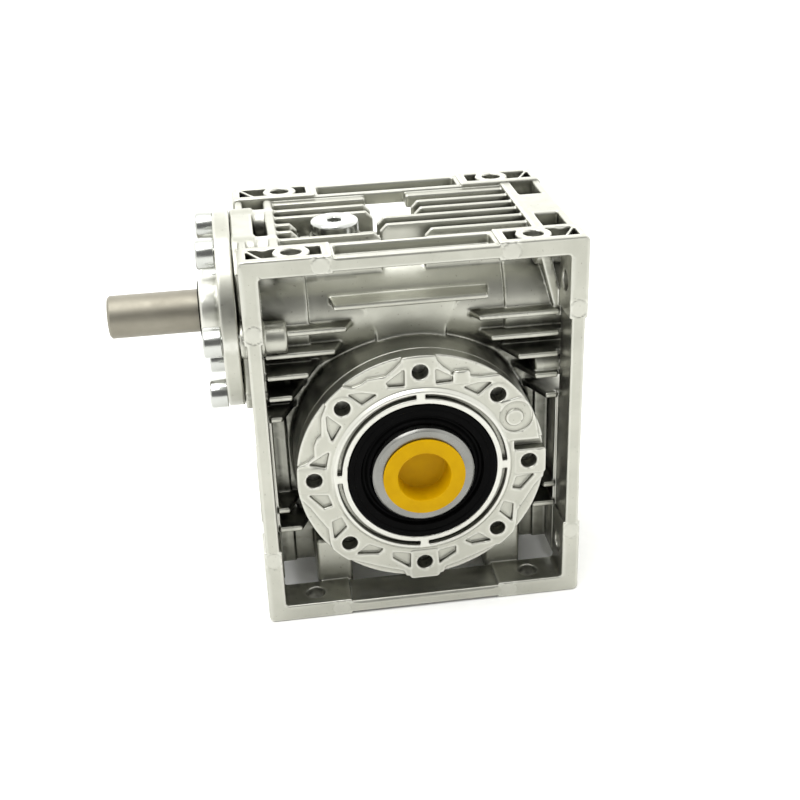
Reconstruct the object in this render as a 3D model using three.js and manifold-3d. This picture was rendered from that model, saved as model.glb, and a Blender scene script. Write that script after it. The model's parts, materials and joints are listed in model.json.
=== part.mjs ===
// Worm gear reducer of the 063 frame size: a square die-cast frame round a wheel barrel, a solid input
// shaft on the -X side and a hollow output shaft along Y. Millimetres, +Z up.
// Everything is drawn about the output axis; the last group lifts it onto its base.
import * as THREE from 'three';
import { mergeVertices } from 'three/addons/utils/BufferGeometryUtils.js';
import Module from 'manifold-3d';

const wasm = await Module();
wasm.setup();

// ---------- driving dimensions ----------
const GAP = 0.3; // clearance between pieces that touch
const CENTRE_DISTANCE = 63; // output axis to worm axis
const MODULE = 3.3;
const WHEEL_TEETH = 30;
const WORM_PITCH_RADIUS = 13.5;
const PRESSURE_ANGLE = (20 * Math.PI) / 180;
const BACKLASH = 0.7;

const FRAME = { side: 72, bottom: -72, top: 102, halfDepth: 51.5, rail: 18, wall: 8, padLength: 38 };
const HOLE = { radius: 4.25, inset: 22, halfSpan: 42.5 }; // 8.5 mm mounting holes, 22 mm from each corner
const BODY = { radius: 63, front: -20, rear: 30, chamberRadius: 55 };
const BARREL_RADIUS = 55; // 110 mm output flange
const SPIGOT = { radius: 40, reach: 53 };
const FLANGE_HOLES = { count: 8, circleRadius: 47.5, tapRadius: 3.4, depth: 14 };
const FIN = { thickness: 3, front: 36, end: 64, outer: 70, pitch: 10 };

const WORM_HOUSING = { radius: 28.5, endRadius: 30, tunnel: 20, leftStep: -44, rightStep: 41 };
const CLOSED_END = { face: 70, postRadius: 7, postOffset: 26.5, postFrom: 54 };
const INPUT = { face: -73.7, discBack: -74, discFront: -81, discRadius: 43.5 };
const INPUT_BOSS = { radius: 15, end: -90, postRadius: 8, postTo: -54 };
const INPUT_SCREWS = { count: 6, circleRadius: 37.5, headRadius: 6.5, headLength: 7.7, shankRadius: 3.2 };
const INPUT_SCREW_LENGTH = 23;
const INPUT_SOCKET = 3.3;
const SHAFT = { radius: 9.5, end: -130, keyWidth: 6, keyTop: 12, keyFrom: -127, keyTo: -95 };

const OUTPUT = { hubRadius: 22.5, hubHalfLength: 56, boreRadius: 12.5, keyWidth: 8, keyReach: 15.8 };
const RIM = { innerRadius: 38, halfWidth: 14 };
const COVER = { flangeRadius: 62.5, flangeFrom: 31.1, flangeTo: 37, neckRadius: 52, ringFrom: 44.5 };
const COVER_SCREWS = {
  count: 8, circleRadius: 58.7, headRadius: 4.2, headLength: 5, shankRadius: 2.2, length: 17,
};
const COVER_SOCKET = 2.2;
// bearings: bore radius, outer radius, width, ball radius, ball circle, number of balls
const WORM_BEARING = {
  bore: 10.3, outer: 23.5, width: 14, ball: 3.6, circle: 16.8, balls: 7, centre: 53,
};
const OUTPUT_BEARING = {
  bore: 22.8, outer: 37.5, width: 16, ball: 4.1, circle: 30.2, balls: 8, centre: 36,
};
const OUTPUT_SEAL = { inner: 22.8, outer: 32.5, from: 45, to: 52.8 };
const INPUT_SEAL = { inner: 10.3, outer: 12.9, from: -90.5, to: -84.3 };
const PLUG = { x: -28.5, seat: 94, washer: 0.8, headRadius: 10.6, headHeight: 5, shankRadius: 5.9 };
const BORE_CAP = { rimRadius: 18, cupOuter: 12.2, cupInner: 11.2, rim: 1.4, depth: 10 };

const SEGMENTS = { large: 32, medium: 20, small: 10, hole: 8 };

// ---------- materials ----------
const finish = (color, roughness, metalness) => ({ color, roughness, metalness });
const CAST = finish(0xc9c9bd, 0.5, 0.85);
const STEEL = finish(0xa7a39a, 0.35, 0.9);
const BEARING_STEEL = finish(0xb9bcc0, 0.25, 0.95);
const ZINC = finish(0xd4d6d8, 0.3, 0.9);
const RUBBER = finish(0x141414, 0.6, 0);
const BRONZE = finish(0xb0823c, 0.4, 0.85);
const IRON = finish(0x8d8f90, 0.5, 0.8);
const YELLOW_PLASTIC = finish(0xe3b800, 0.45, 0);
const GREY_PAPER = finish(0x6c6a62, 0.8, 0);

// ---------- solids ----------
const solidOf = (geometry) => {
  const plain = geometry.clone();
  plain.deleteAttribute('normal');
  plain.deleteAttribute('uv');
  const merged = mergeVertices(plain, 1e-4);
  const index = merged.index.array;
  const triangles = [];
  for (let i = 0; i < index.length; i += 3) {
    const [a, b, c] = [index[i], index[i + 1], index[i + 2]];
    if (a !== b && b !== c && c !== a) triangles.push(a, b, c);
  }
  const position = merged.attributes.position;
  const corner = (k) => new THREE.Vector3().fromBufferAttribute(position, triangles[k]);
  let volume = 0;
  for (let i = 0; i < triangles.length; i += 3) {
    volume += corner(i).dot(corner(i + 1).cross(corner(i + 2)));
  }
  if (volume < 0) triangles.reverse();
  return new wasm.Manifold(
    new wasm.Mesh({
      numProp: 3,
      vertProperties: new Float32Array(position.array),
      triVerts: new Uint32Array(triangles),
    }),
  );
};

const geometryOf = (solid) => {
  const mesh = solid.getMesh();
  const geometry = new THREE.BufferGeometry();
  geometry.setAttribute('position', new THREE.BufferAttribute(new Float32Array(mesh.vertProperties), 3));
  geometry.setIndex(new THREE.BufferAttribute(new Uint32Array(mesh.triVerts), 1));
  geometry.computeVertexNormals();
  return geometry;
};

const add = (...solids) => solids.reduce((sum, next) => sum.add(next));
const cut = (solid, ...tools) => tools.reduce((rest, tool) => rest.subtract(tool), solid);

// Turns a geometry drawn along +Y so that it runs along +X, +Y or +Z.
const along = (axis, geometry) => {
  if (axis === 'x') geometry.rotateZ(-Math.PI / 2);
  if (axis === 'z') geometry.rotateX(Math.PI / 2);
  return geometry;
};

const box = (x, y, z) => {
  const geometry = new THREE.BoxGeometry(x[1] - x[0], y[1] - y[0], z[1] - z[0]);
  return solidOf(geometry.translate((x[0] + x[1]) / 2, (y[0] + y[1]) / 2, (z[0] + z[1]) / 2));
};

// A cylinder from one coordinate to another along an axis; centre gives the other two coordinates.
const rod = (axis, radius, from, to, centre = [0, 0], segments = SEGMENTS.small) => {
  const geometry = along(axis, new THREE.CylinderGeometry(radius, radius, to - from, segments));
  const middle = (from + to) / 2;
  const [a, b] = centre;
  const place = { x: [middle, a, b], y: [a, middle, b], z: [a, b, middle] }[axis];
  return solidOf(geometry.translate(...place));
};

// A turned piece: profile points are [radius, station] along the axis, closed on itself.
const turned = (axis, profile, segments = SEGMENTS.medium) => {
  const points = [...profile, profile[0]].map(([radius, station]) => new THREE.Vector2(radius, station));
  return solidOf(along(axis, new THREE.LatheGeometry(points, segments)));
};

const ring = (axis, inner, outer, from, to, segments) =>
  turned(axis, [[inner, from], [outer, from], [outer, to], [inner, to]], segments);

// Points on a circle, counted from straight up.
const onCircle = (count, radius, offset = 0) =>
  Array.from({ length: count }, (_, k) => {
    const angle = offset + (k * 2 * Math.PI) / count;
    return [radius * Math.sin(angle), radius * Math.cos(angle)];
  });

// Both signs of a pair of coordinates.
const corners = (a, b) => [[-a, -b], [a, -b], [-a, b], [a, b]];

const model = new THREE.Group();
const place = (name, solid, look, position = [0, 0, 0]) => {
  const mesh = new THREE.Mesh(geometryOf(solid), new THREE.MeshStandardMaterial(look));
  mesh.name = name;
  mesh.position.set(...position);
  model.add(mesh);
  return mesh;
};

// ---------- housing ----------
const roundedRectangle = (path, x0, x1, z0, z1, radius) => {
  path.moveTo(x0 + radius, z0);
  path.lineTo(x1 - radius, z0);
  path.absarc(x1 - radius, z0 + radius, radius, -Math.PI / 2, 0, false);
  path.lineTo(x1, z1 - radius);
  path.absarc(x1 - radius, z1 - radius, radius, 0, Math.PI / 2, false);
  path.lineTo(x0 + radius, z1);
  path.absarc(x0 + radius, z1 - radius, radius, Math.PI / 2, Math.PI, false);
  path.lineTo(x0, z0 + radius);
  path.absarc(x0 + radius, z0 + radius, radius, Math.PI, (3 * Math.PI) / 2, false);
  return path;
};

const shapeOf = (points) => new THREE.Shape(points.map(([x, z]) => new THREE.Vector2(x, z)));

const extrudeAlongY = (shape, from, to, curveSegments = 3) => {
  const options = { depth: to - from, bevelEnabled: false, curveSegments };
  const geometry = new THREE.ExtrudeGeometry(shape, options);
  return solidOf(geometry.rotateX(Math.PI / 2).translate(0, to, 0));
};

const makeRailFrame = (from, to) => {
  const { side, bottom, top, wall } = FRAME;
  const outline = roundedRectangle(new THREE.Shape(), -side, side, bottom, top, 3);
  outline.holes.push(
    roundedRectangle(new THREE.Path(), -side + wall, side - wall, bottom + wall, top - wall, 2),
  );
  return extrudeAlongY(outline, from, to);
};

// Between the corner pads each rail is 1 mm lower, and has a shallow channel along it.
const railReliefs = () => {
  const { side, bottom, top, halfDepth, rail, padLength } = FRAME;
  const relief = 1;
  const channel = { depth: 5, ridge: 3.5 };
  const inner = halfDepth - rail;
  const x = side - padLength;
  const z = [bottom + padLength - 1, top - padLength + 1];
  const cuts = [];
  for (const end of [-1, 1]) {
    const level = end > 0 ? top : bottom;
    const slab = (depth) => [level - end * depth, level + end].sort((a, b) => a - b);
    cuts.push(box([-x, x], [-halfDepth - 1, halfDepth + 1], slab(relief)));
    const face = [end * (side - relief), end * (side + 1)].sort((a, b) => a - b);
    cuts.push(box(face, [-halfDepth - 1, halfDepth + 1], z));
    for (const row of [-1, 1]) {
      const y = [row * (inner + channel.ridge), row * (halfDepth - channel.ridge)].sort((a, b) => a - b);
      cuts.push(box([-x + 1, x - 1], y, slab(channel.depth)));
    }
  }
  return cuts;
};

const mountingHoles = () => {
  const { side, bottom, top, wall } = FRAME;
  const holes = [];
  for (const [x, y] of corners(side - HOLE.inset, HOLE.halfSpan)) {
    holes.push(rod('z', HOLE.radius, bottom - 1, bottom + wall + 1, [x, y], SEGMENTS.hole));
    holes.push(rod('z', HOLE.radius, top - wall - 1, top + 1, [x, y], SEGMENTS.hole));
  }
  for (const y of [-HOLE.halfSpan, HOLE.halfSpan]) {
    for (const z of [bottom + HOLE.inset, top - HOLE.inset]) {
      holes.push(rod('x', HOLE.radius, -side - 1, -side + wall + 1, [y, z], SEGMENTS.hole));
      holes.push(rod('x', HOLE.radius, side - wall - 1, side + 1, [y, z], SEGMENTS.hole));
    }
  }
  return holes;
};

// Horizontal cooling fins beside the barrel, which also tie the body to both rails.
const sideFins = () => {
  const { thickness, front, end, outer, pitch } = FIN;
  const fins = [];
  const levels = [-33, -23, ...Array.from({ length: 5 }, (_, k) => 23 + k * pitch)];
  for (const level of levels) {
    const start = level > BODY.radius - 1 ? 28.6 : Math.sqrt(BODY.radius ** 2 - level ** 2) - 1.5;
    const z = [level - thickness / 2, level + thickness / 2];
    const inner = FRAME.halfDepth - FRAME.rail + 0.1;
    fins.push(box([start, end], [-front, front], z), box([-end, -start], [-front, front], z));
    fins.push(box([start, outer], [-inner, inner], z), box([-outer, -start], [-inner, inner], z));
  }
  const top = CENTRE_DISTANCE + pitch;
  fins.push(box([-33.5, 32.5], [-front, front], [top - thickness / 2, top + thickness / 2]));
  return fins;
};

// Fins along the top of the worm housing: [Y, list of X ranges].
const topFins = () => {
  const left = [-57, -10.5];
  const stub = [-57, -45];
  const rows = [
    [-20, [left, [8, 54]]],
    [-10, [stub, [-10, 54]]],
    [0, [stub, [-10, 54]]],
    [10, [left, [8, 54]]],
    [20, [left, [8, 54]]],
  ];
  const crest = 99.8;
  const fins = rows.flatMap(([y, ranges]) =>
    ranges.map((x) => box(x, [y - FIN.thickness / 2, y + FIN.thickness / 2], [82, crest])),
  );
  for (const y of [[-33.7, -29], [29, 33.7]]) {
    fins.push(box([-57, -10.5], y, [94, crest]), box([8, 54], y, [94, crest]));
  }
  return fins;
};

const coverScrewPlaces = onCircle(
  COVER_SCREWS.count,
  COVER_SCREWS.circleRadius,
  Math.PI / COVER_SCREWS.count,
);

const makeHousing = () => {
  const { side, halfDepth, rail } = FRAME;
  const inner = halfDepth - rail;
  const across = [-inner - 0.1, inner + 0.1];
  const axis = [0, CENTRE_DISTANCE];
  const { radius, endRadius, tunnel, leftStep, rightStep } = WORM_HOUSING;
  const closedFace = CLOSED_END.face;
  const mid = SEGMENTS.medium;

  const inputBoss = rod('x', INPUT.discRadius - 0.5, INPUT.face, -64, axis, mid).intersect(
    box([-80, -60], across, [0, 110]),
  );
  const neckOutline = shapeOf([[-15, 48], [15, 48], [23, 72], [-23, 72]]);
  const rightWallOutline = shapeOf([[63, 60], [67, 60], [56, 101], [52, 101]]);
  const { postRadius, postTo } = INPUT_BOSS;
  const postTop = FRAME.top - postRadius - 0.1;
  const screwPosts = onCircle(INPUT_SCREWS.count, INPUT_SCREWS.circleRadius, Math.PI / 6).map(([y, z]) =>
    rod('x', postRadius, INPUT.face, postTo, [y, Math.min(z + CENTRE_DISTANCE, postTop)], SEGMENTS.small),
  );
  const blindPosts = corners(CLOSED_END.postOffset, CLOSED_END.postOffset).map(([y, z]) =>
    rod('x', CLOSED_END.postRadius, CLOSED_END.postFrom, closedFace, [y, z + CENTRE_DISTANCE]),
  );
  const bars = [[-72, -68], [-58.5, -54.5], [68, 72]].map((x) => box(x, across, [90, 101]));
  const lowerBars = [[-72, -68], [68, 72]].map((x) => box(x, across, [-71, -60]));
  const feet = [[-48, -32], [32, 48]].map((x) => box(x, across, [-70, -42]));

  const solids = add(
    makeRailFrame(-halfDepth, -inner),
    makeRailFrame(inner, halfDepth),
    rod('y', BODY.radius, BODY.front, BODY.rear, [0, 0], SEGMENTS.large),
    rod('y', BARREL_RADIUS, -halfDepth, 0, [0, 0], SEGMENTS.large),
    rod('y', SPIGOT.radius, -SPIGOT.reach, 0, [0, 0], SEGMENTS.large),
    box([-66, 66], [BODY.front, -BODY.front], [-60, -37]),
    box([-66, -52], [-19, 19], [22, 34]),
    rod('x', radius, -60, 60, axis, mid),
    rod('x', endRadius, -66, leftStep, axis, mid),
    rod('x', endRadius, rightStep, closedFace, axis, mid),
    extrudeAlongY(neckOutline, -27, 27),
    extrudeAlongY(rightWallOutline, across[0], across[1]),
    rod('z', 11, 84, PLUG.seat, [PLUG.x, 0], 16),
    inputBoss,
    ...screwPosts,
    ...blindPosts,
    ...bars,
    ...lowerBars,
    ...feet,
    ...sideFins(),
    ...topFins(),
  );

  const bearing = OUTPUT_BEARING;
  const bore = WORM_BEARING.outer + GAP;
  const { tapRadius, depth } = FLANGE_HOLES;
  const tapped = onCircle(FLANGE_HOLES.count, FLANGE_HOLES.circleRadius).map((centre) =>
    rod('y', tapRadius, -halfDepth - 1, -halfDepth + depth, centre, SEGMENTS.hole),
  );
  const screwHoles = onCircle(INPUT_SCREWS.count, INPUT_SCREWS.circleRadius, Math.PI / 6).map(([y, z]) =>
    rod('x', INPUT_SCREWS.shankRadius + GAP, INPUT.face - 1, -56, [y, z + CENTRE_DISTANCE], SEGMENTS.hole),
  );
  const coverHoles = coverScrewPlaces.map((centre) =>
    rod('y', COVER_SCREWS.shankRadius + GAP, 18, BODY.rear + 1, centre, SEGMENTS.hole),
  );
  return cut(
    solids,
    rod('y', BODY.chamberRadius, -19, BODY.rear + 0.1, [0, 0], SEGMENTS.large),
    rod('y', COVER.flangeRadius + 0.5, BODY.rear, 45, [0, 0], SEGMENTS.large),
    rod('y', bearing.outer + GAP, -bearing.centre - bearing.width / 2 - GAP, -18, [0, 0], SEGMENTS.large),
    rod('y', OUTPUT_SEAL.outer + GAP, -SPIGOT.reach - 1, -18, [0, 0], SEGMENTS.large),
    rod('x', tunnel, -50, 50, axis, mid),
    rod('x', bore, INPUT.face - 1, -WORM_BEARING.centre + WORM_BEARING.width / 2 + GAP, axis, mid),
    rod('x', bore, WORM_BEARING.centre - WORM_BEARING.width / 2 - GAP, closedFace + 1, axis, mid),
    rod('z', PLUG.shankRadius + GAP, 78, PLUG.seat + 1, [PLUG.x, 0]),
    rod('z', 11.5, PLUG.seat, 106, [PLUG.x, 0], 16),
    box([-side - 5, side + 5], [-60, 60], [FRAME.top, 112]),
    ...tapped,
    ...screwHoles,
    ...coverHoles,
    ...railReliefs(),
    ...mountingHoles(),
  );
};
place('housing', makeHousing(), CAST);

// ---------- rear cover and its screws ----------
const makeRearCover = () => {
  const { flangeRadius, flangeFrom, flangeTo, neckRadius, ringFrom } = COVER;
  const face = FRAME.halfDepth;
  const seat = OUTPUT_BEARING.centre + OUTPUT_BEARING.width / 2 + GAP;
  const body = turned('y', [
    [OUTPUT_BEARING.outer + GAP, BODY.rear - 3],
    [BODY.chamberRadius - 1.3, BODY.rear - 3],
    [BODY.chamberRadius - 1.3, flangeFrom],
    [flangeRadius, flangeFrom],
    [flangeRadius, flangeTo],
    [neckRadius, flangeTo],
    [neckRadius, ringFrom],
    [BARREL_RADIUS, ringFrom],
    [BARREL_RADIUS, face],
    [SPIGOT.radius, face],
    [SPIGOT.radius, SPIGOT.reach],
    [OUTPUT_SEAL.outer + GAP, SPIGOT.reach],
    [OUTPUT_SEAL.outer + GAP, seat],
    [OUTPUT_BEARING.outer + GAP, seat],
  ], SEGMENTS.large);
  const tapped = onCircle(FLANGE_HOLES.count, FLANGE_HOLES.circleRadius).map((centre) =>
    rod('y', FLANGE_HOLES.tapRadius, face - FLANGE_HOLES.depth, face + 1, centre, SEGMENTS.hole),
  );
  const clearance = coverScrewPlaces.map((centre) =>
    rod('y', COVER_SCREWS.shankRadius + 2 * GAP, flangeFrom - 1, flangeTo + 1, centre, SEGMENTS.hole),
  );
  return cut(body, ...tapped, ...clearance);
};
place('rear_cover', makeRearCover(), CAST);
place('cover_seal_ring', ring('y', 54.1, 55.8, BODY.rear + GAP, BODY.rear + 0.8, SEGMENTS.large), RUBBER);

// A socket cap screw along +Y with its head's underside at 0 and its shank towards -Y.
const capScrew = ({ headRadius, headLength, shankRadius }, shankLength, socket) => {
  const body = turned('y', [
    [0, -shankLength],
    [shankRadius, -shankLength],
    [shankRadius, 0],
    [headRadius, 0],
    [headRadius, headLength],
    [0, headLength],
  ], SEGMENTS.small);
  return cut(body, rod('y', socket, headLength * 0.45, headLength + 1, [0, 0], 6));
};

const coverScrew = capScrew(COVER_SCREWS, COVER_SCREWS.length, COVER_SOCKET);
coverScrewPlaces.forEach(([x, z], k) => {
  place(`cover_screw_${k + 1}`, coverScrew, ZINC, [x, COVER.flangeTo + GAP, z]);
});

// ---------- input flange and its screws ----------
const makeInputFlange = () => {
  const { discBack, discFront, discRadius } = INPUT;
  const { radius: bossRadius, end: bossEnd } = INPUT_BOSS;
  const bearingFace = -WORM_BEARING.centre - WORM_BEARING.width / 2 - GAP;
  const body = turned('x', [
    [20, bearingFace],
    [20, -80],
    [SHAFT.radius + 1.2, -80],
    [SHAFT.radius + 1.2, INPUT_SEAL.to + GAP],
    [INPUT_SEAL.outer + GAP, INPUT_SEAL.to + GAP],
    [INPUT_SEAL.outer + GAP, bossEnd],
    [bossRadius, bossEnd],
    [bossRadius, discFront],
    [discRadius, discFront],
    [discRadius, discBack],
    [WORM_BEARING.outer, discBack],
    [WORM_BEARING.outer, bearingFace],
  ]);
  const clearance = onCircle(INPUT_SCREWS.count, INPUT_SCREWS.circleRadius, Math.PI / 6).map((centre) =>
    rod('x', 4.2, discFront - 1, discBack + 1, centre, SEGMENTS.hole),
  );
  return cut(body, ...clearance);
};
place('input_flange', makeInputFlange(), CAST, [0, 0, CENTRE_DISTANCE]);

const inputScrew = capScrew(INPUT_SCREWS, INPUT_SCREW_LENGTH, INPUT_SOCKET);
onCircle(INPUT_SCREWS.count, INPUT_SCREWS.circleRadius, Math.PI / 6).forEach(([y, z], k) => {
  const seat = [INPUT.discFront - GAP, y, CENTRE_DISTANCE + z];
  const screw = place(`input_screw_${k + 1}`, inputScrew, ZINC, seat);
  screw.rotation.z = Math.PI / 2;
});

// ---------- worm shaft ----------
// One start of thread: a trapezium swept round the shaft axis, thinner than half a pitch by the backlash.
const makeWormThread = () => {
  const pitch = Math.PI * MODULE;
  const turns = 4;
  const stepsPerTurn = 14;
  const halfAtPitch = pitch / 4 - BACKLASH / 4;
  const crest = WORM_PITCH_RADIUS + MODULE - 0.2;
  const root = 9;
  const slope = Math.tan(PRESSURE_ANGLE);
  const halfWidth = (radius) => halfAtPitch + (WORM_PITCH_RADIUS - radius) * slope;
  const section = [
    [root, -halfWidth(root)],
    [crest, -halfWidth(crest)],
    [crest, halfWidth(crest)],
    [root, halfWidth(root)],
  ];
  const count = turns * stepsPerTurn + 1;
  const positions = [];
  for (let k = 0; k < count; k += 1) {
    const turn = k / stepsPerTurn - turns / 2;
    const angle = turn * 2 * Math.PI - Math.PI / 2;
    for (const [radius, offset] of section) {
      const x = pitch * (turn + 0.5) + offset;
      positions.push(x, radius * Math.cos(angle), radius * Math.sin(angle));
    }
  }
  const index = [0, 1, 2, 0, 2, 3];
  for (let k = 0; k + 1 < count; k += 1) {
    for (let j = 0; j < 4; j += 1) {
      const a = k * 4 + j;
      const b = k * 4 + ((j + 1) % 4);
      index.push(a, a + 4, b, b, a + 4, b + 4);
    }
  }
  const last = (count - 1) * 4;
  index.push(last, last + 2, last + 1, last, last + 3, last + 2);
  const geometry = new THREE.BufferGeometry();
  geometry.setAttribute('position', new THREE.Float32BufferAttribute(positions, 3));
  geometry.setIndex(index);
  return solidOf(geometry);
};

const makeWormShaft = () => {
  const seat = WORM_BEARING.bore - GAP;
  const shoulder = WORM_BEARING.centre - WORM_BEARING.width / 2 - GAP;
  const core = turned('x', [
    [0, SHAFT.end],
    [SHAFT.radius - 1, SHAFT.end],
    [SHAFT.radius, SHAFT.end + 1],
    [SHAFT.radius, -91],
    [seat, -91],
    [seat, -shoulder],
    [13, -shoulder],
    [13, -36],
    [9.4, -28],
    [9.4, 28],
    [13, 36],
    [13, shoulder],
    [seat, shoulder],
    [seat, 60.5],
    [0, 60.5],
  ], 16);
  const keyFloor = SHAFT.radius - 3.5;
  const half = SHAFT.keyWidth / 2 + GAP;
  const keyway = box([SHAFT.keyFrom - GAP, SHAFT.keyTo + GAP], [keyFloor, 20], [-half, half]);
  return cut(add(core, makeWormThread()), keyway);
};
place('worm_shaft', makeWormShaft(), STEEL, [0, 0, CENTRE_DISTANCE]);

const makeShaftKey = () => {
  const half = SHAFT.keyWidth / 2;
  const floor = SHAFT.radius - 3.5 + GAP;
  return box([SHAFT.keyFrom, SHAFT.keyTo], [floor, SHAFT.keyTop], [-half, half]);
};
place('shaft_key', makeShaftKey(), STEEL, [0, 0, CENTRE_DISTANCE]);

// ---------- worm wheel ----------
// Involute flank: the half angle of a tooth at a radius.
const toothHalfAngle = (radius) => {
  const pitchRadius = (MODULE * WHEEL_TEETH) / 2;
  const base = pitchRadius * Math.cos(PRESSURE_ANGLE);
  const involute = (angle) => Math.tan(angle) - angle;
  const pressure = Math.acos(Math.min(1, base / radius));
  const atPitch = (Math.PI * MODULE) / 4 - BACKLASH / 4;
  return atPitch / pitchRadius + involute(PRESSURE_ANGLE) - involute(pressure);
};

const makeWheelRim = () => {
  const pitchRadius = (MODULE * WHEEL_TEETH) / 2;
  const radii = [pitchRadius - 1.2 * MODULE, pitchRadius - 0.3 * MODULE, pitchRadius + MODULE - 0.2];
  const points = [];
  for (let tooth = 0; tooth < WHEEL_TEETH; tooth += 1) {
    const centre = (tooth * 2 * Math.PI) / WHEEL_TEETH;
    for (const radius of radii) {
      const angle = centre - toothHalfAngle(radius);
      points.push(new THREE.Vector2(radius * Math.sin(angle), radius * Math.cos(angle)));
    }
    for (const radius of [...radii].reverse()) {
      const angle = centre + toothHalfAngle(radius);
      points.push(new THREE.Vector2(radius * Math.sin(angle), radius * Math.cos(angle)));
    }
  }
  const options = { depth: 2 * RIM.halfWidth, steps: 2, bevelEnabled: false };
  const geometry = new THREE.ExtrudeGeometry(new THREE.Shape(points), options);
  geometry.rotateX(Math.PI / 2).translate(0, RIM.halfWidth, 0);
  // The teeth lean with the thread's lead angle.
  const lean = MODULE / (2 * WORM_PITCH_RADIUS) / pitchRadius;
  const position = geometry.attributes.position;
  const point = new THREE.Vector3();
  const upAxis = new THREE.Vector3(0, 1, 0);
  for (let k = 0; k < position.count; k += 1) {
    point.fromBufferAttribute(position, k).applyAxisAngle(upAxis, lean * position.getY(k));
    position.setXYZ(k, point.x, point.y, point.z);
  }
  const bore = rod('y', RIM.innerRadius, -RIM.halfWidth - 1, RIM.halfWidth + 1, [0, 0], 24);
  return cut(solidOf(geometry), bore);
};
place('worm_wheel_rim', makeWheelRim(), BRONZE);

const makeOutputHub = () => {
  const { hubRadius, hubHalfLength, boreRadius, keyWidth, keyReach } = OUTPUT;
  const shoulder = OUTPUT_BEARING.centre - OUTPUT_BEARING.width / 2 - GAP;
  const body = turned('y', [
    [boreRadius, -hubHalfLength],
    [hubRadius, -hubHalfLength],
    [hubRadius, -shoulder],
    [27, -shoulder],
    [27, -12],
    [RIM.innerRadius - 0.4, -12],
    [RIM.innerRadius - 0.4, 12],
    [27, 12],
    [27, shoulder],
    [hubRadius, shoulder],
    [hubRadius, hubHalfLength],
    [boreRadius, hubHalfLength],
  ], 24);
  const half = keyWidth / 2;
  return cut(body, box([-half, half], [-60, 60], [0, keyReach]));
};
place('output_hub', makeOutputHub(), IRON);

// ---------- bearings ----------
const makeBearing = (name, axis, size, centre, position) => {
  const from = centre - size.width / 2;
  const to = centre + size.width / 2;
  const raceGap = 0.6;
  const outerRace = size.circle + size.ball + raceGap;
  const innerRace = size.circle - size.ball - raceGap + 0.2;
  place(`${name}_outer_ring`, ring(axis, outerRace, size.outer, from, to, 24), BEARING_STEEL, position);
  place(`${name}_inner_ring`, ring(axis, size.bore, innerRace, from, to, 20), BEARING_STEEL, position);
  const strip = ring(axis, size.circle - 0.8, size.circle + 0.8, centre - 1.5, centre + 1.5, 16);
  const balls = onCircle(size.balls, size.circle).map(([a, b]) => {
    const ball = new THREE.SphereGeometry(size.ball, 6, 4);
    return solidOf(axis === 'x' ? ball.translate(centre, a, b) : ball.translate(a, centre, b));
  });
  place(`${name}_balls_and_cage`, add(strip, ...balls), BEARING_STEEL, position);
};
const onWormAxis = [0, 0, CENTRE_DISTANCE];
makeBearing('drive_end_bearing', 'x', WORM_BEARING, -WORM_BEARING.centre, onWormAxis);
makeBearing('blind_end_bearing', 'x', WORM_BEARING, WORM_BEARING.centre, onWormAxis);
makeBearing('front_bearing', 'y', OUTPUT_BEARING, -OUTPUT_BEARING.centre, [0, 0, 0]);
makeBearing('rear_bearing', 'y', OUTPUT_BEARING, OUTPUT_BEARING.centre, [0, 0, 0]);

// ---------- seals, end cap, circlip ----------
// A lip seal is a rubber ring with a lower inner land.
const lipSeal = (axis, size, inward) => {
  const middle = inward * 1.2;
  const [from, to] = [size.from, size.to];
  const face = inward > 0 ? from : to;
  const back = inward > 0 ? to : from;
  const step = size.inner + (size.outer - size.inner) * 0.55;
  return turned(axis, [
    [size.inner, face + middle],
    [step, face + middle],
    [step, face],
    [size.outer, face],
    [size.outer, back],
    [size.inner, back],
  ], 24);
};
const frontSealSize = { ...OUTPUT_SEAL, from: -OUTPUT_SEAL.to, to: -OUTPUT_SEAL.from };
place('front_oil_seal', lipSeal('y', frontSealSize, 1), RUBBER);
place('rear_oil_seal', lipSeal('y', OUTPUT_SEAL, -1), RUBBER);
const { inner, outer, from, to } = INPUT_SEAL;
place('input_oil_seal', ring('x', inner, outer, from, to, 24), RUBBER, onWormAxis);

place('blind_end_circlip', ring('x', 20.5, 23.4, 60.4, 61.8, 20), STEEL, onWormAxis);
const makeEndCap = () => turned('x', [
  [0, 66.5],
  [21, 66.5],
  [21, 63],
  [23.4, 63],
  [23.4, 68.5],
  [0, 68.5],
]);
place('blind_end_cap', makeEndCap(), RUBBER, onWormAxis);

// ---------- filler plug ----------
const plugBase = PLUG.seat + 2 * GAP + PLUG.washer;
const makeFillerPlug = () => {
  const { headRadius, headHeight, shankRadius } = PLUG;
  const body = turned('z', [
    [0, -9],
    [shankRadius, -9],
    [shankRadius, 0],
    [headRadius, 0],
    [headRadius, headHeight - 0.6],
    [headRadius - 0.6, headHeight],
    [0, headHeight],
  ], 16);
  return cut(body, rod('z', 3.4, headHeight - 3, headHeight + 1, [0, 0], 6));
};
place('filler_plug', makeFillerPlug(), ZINC, [PLUG.x, 0, plugBase]);
const washerFrom = PLUG.seat + GAP;
const fillerWasher = ring('z', 6.3, 9.8, washerFrom, washerFrom + PLUG.washer, 12);
place('filler_washer', fillerWasher, GREY_PAPER, [PLUG.x, 0, 0]);

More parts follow.
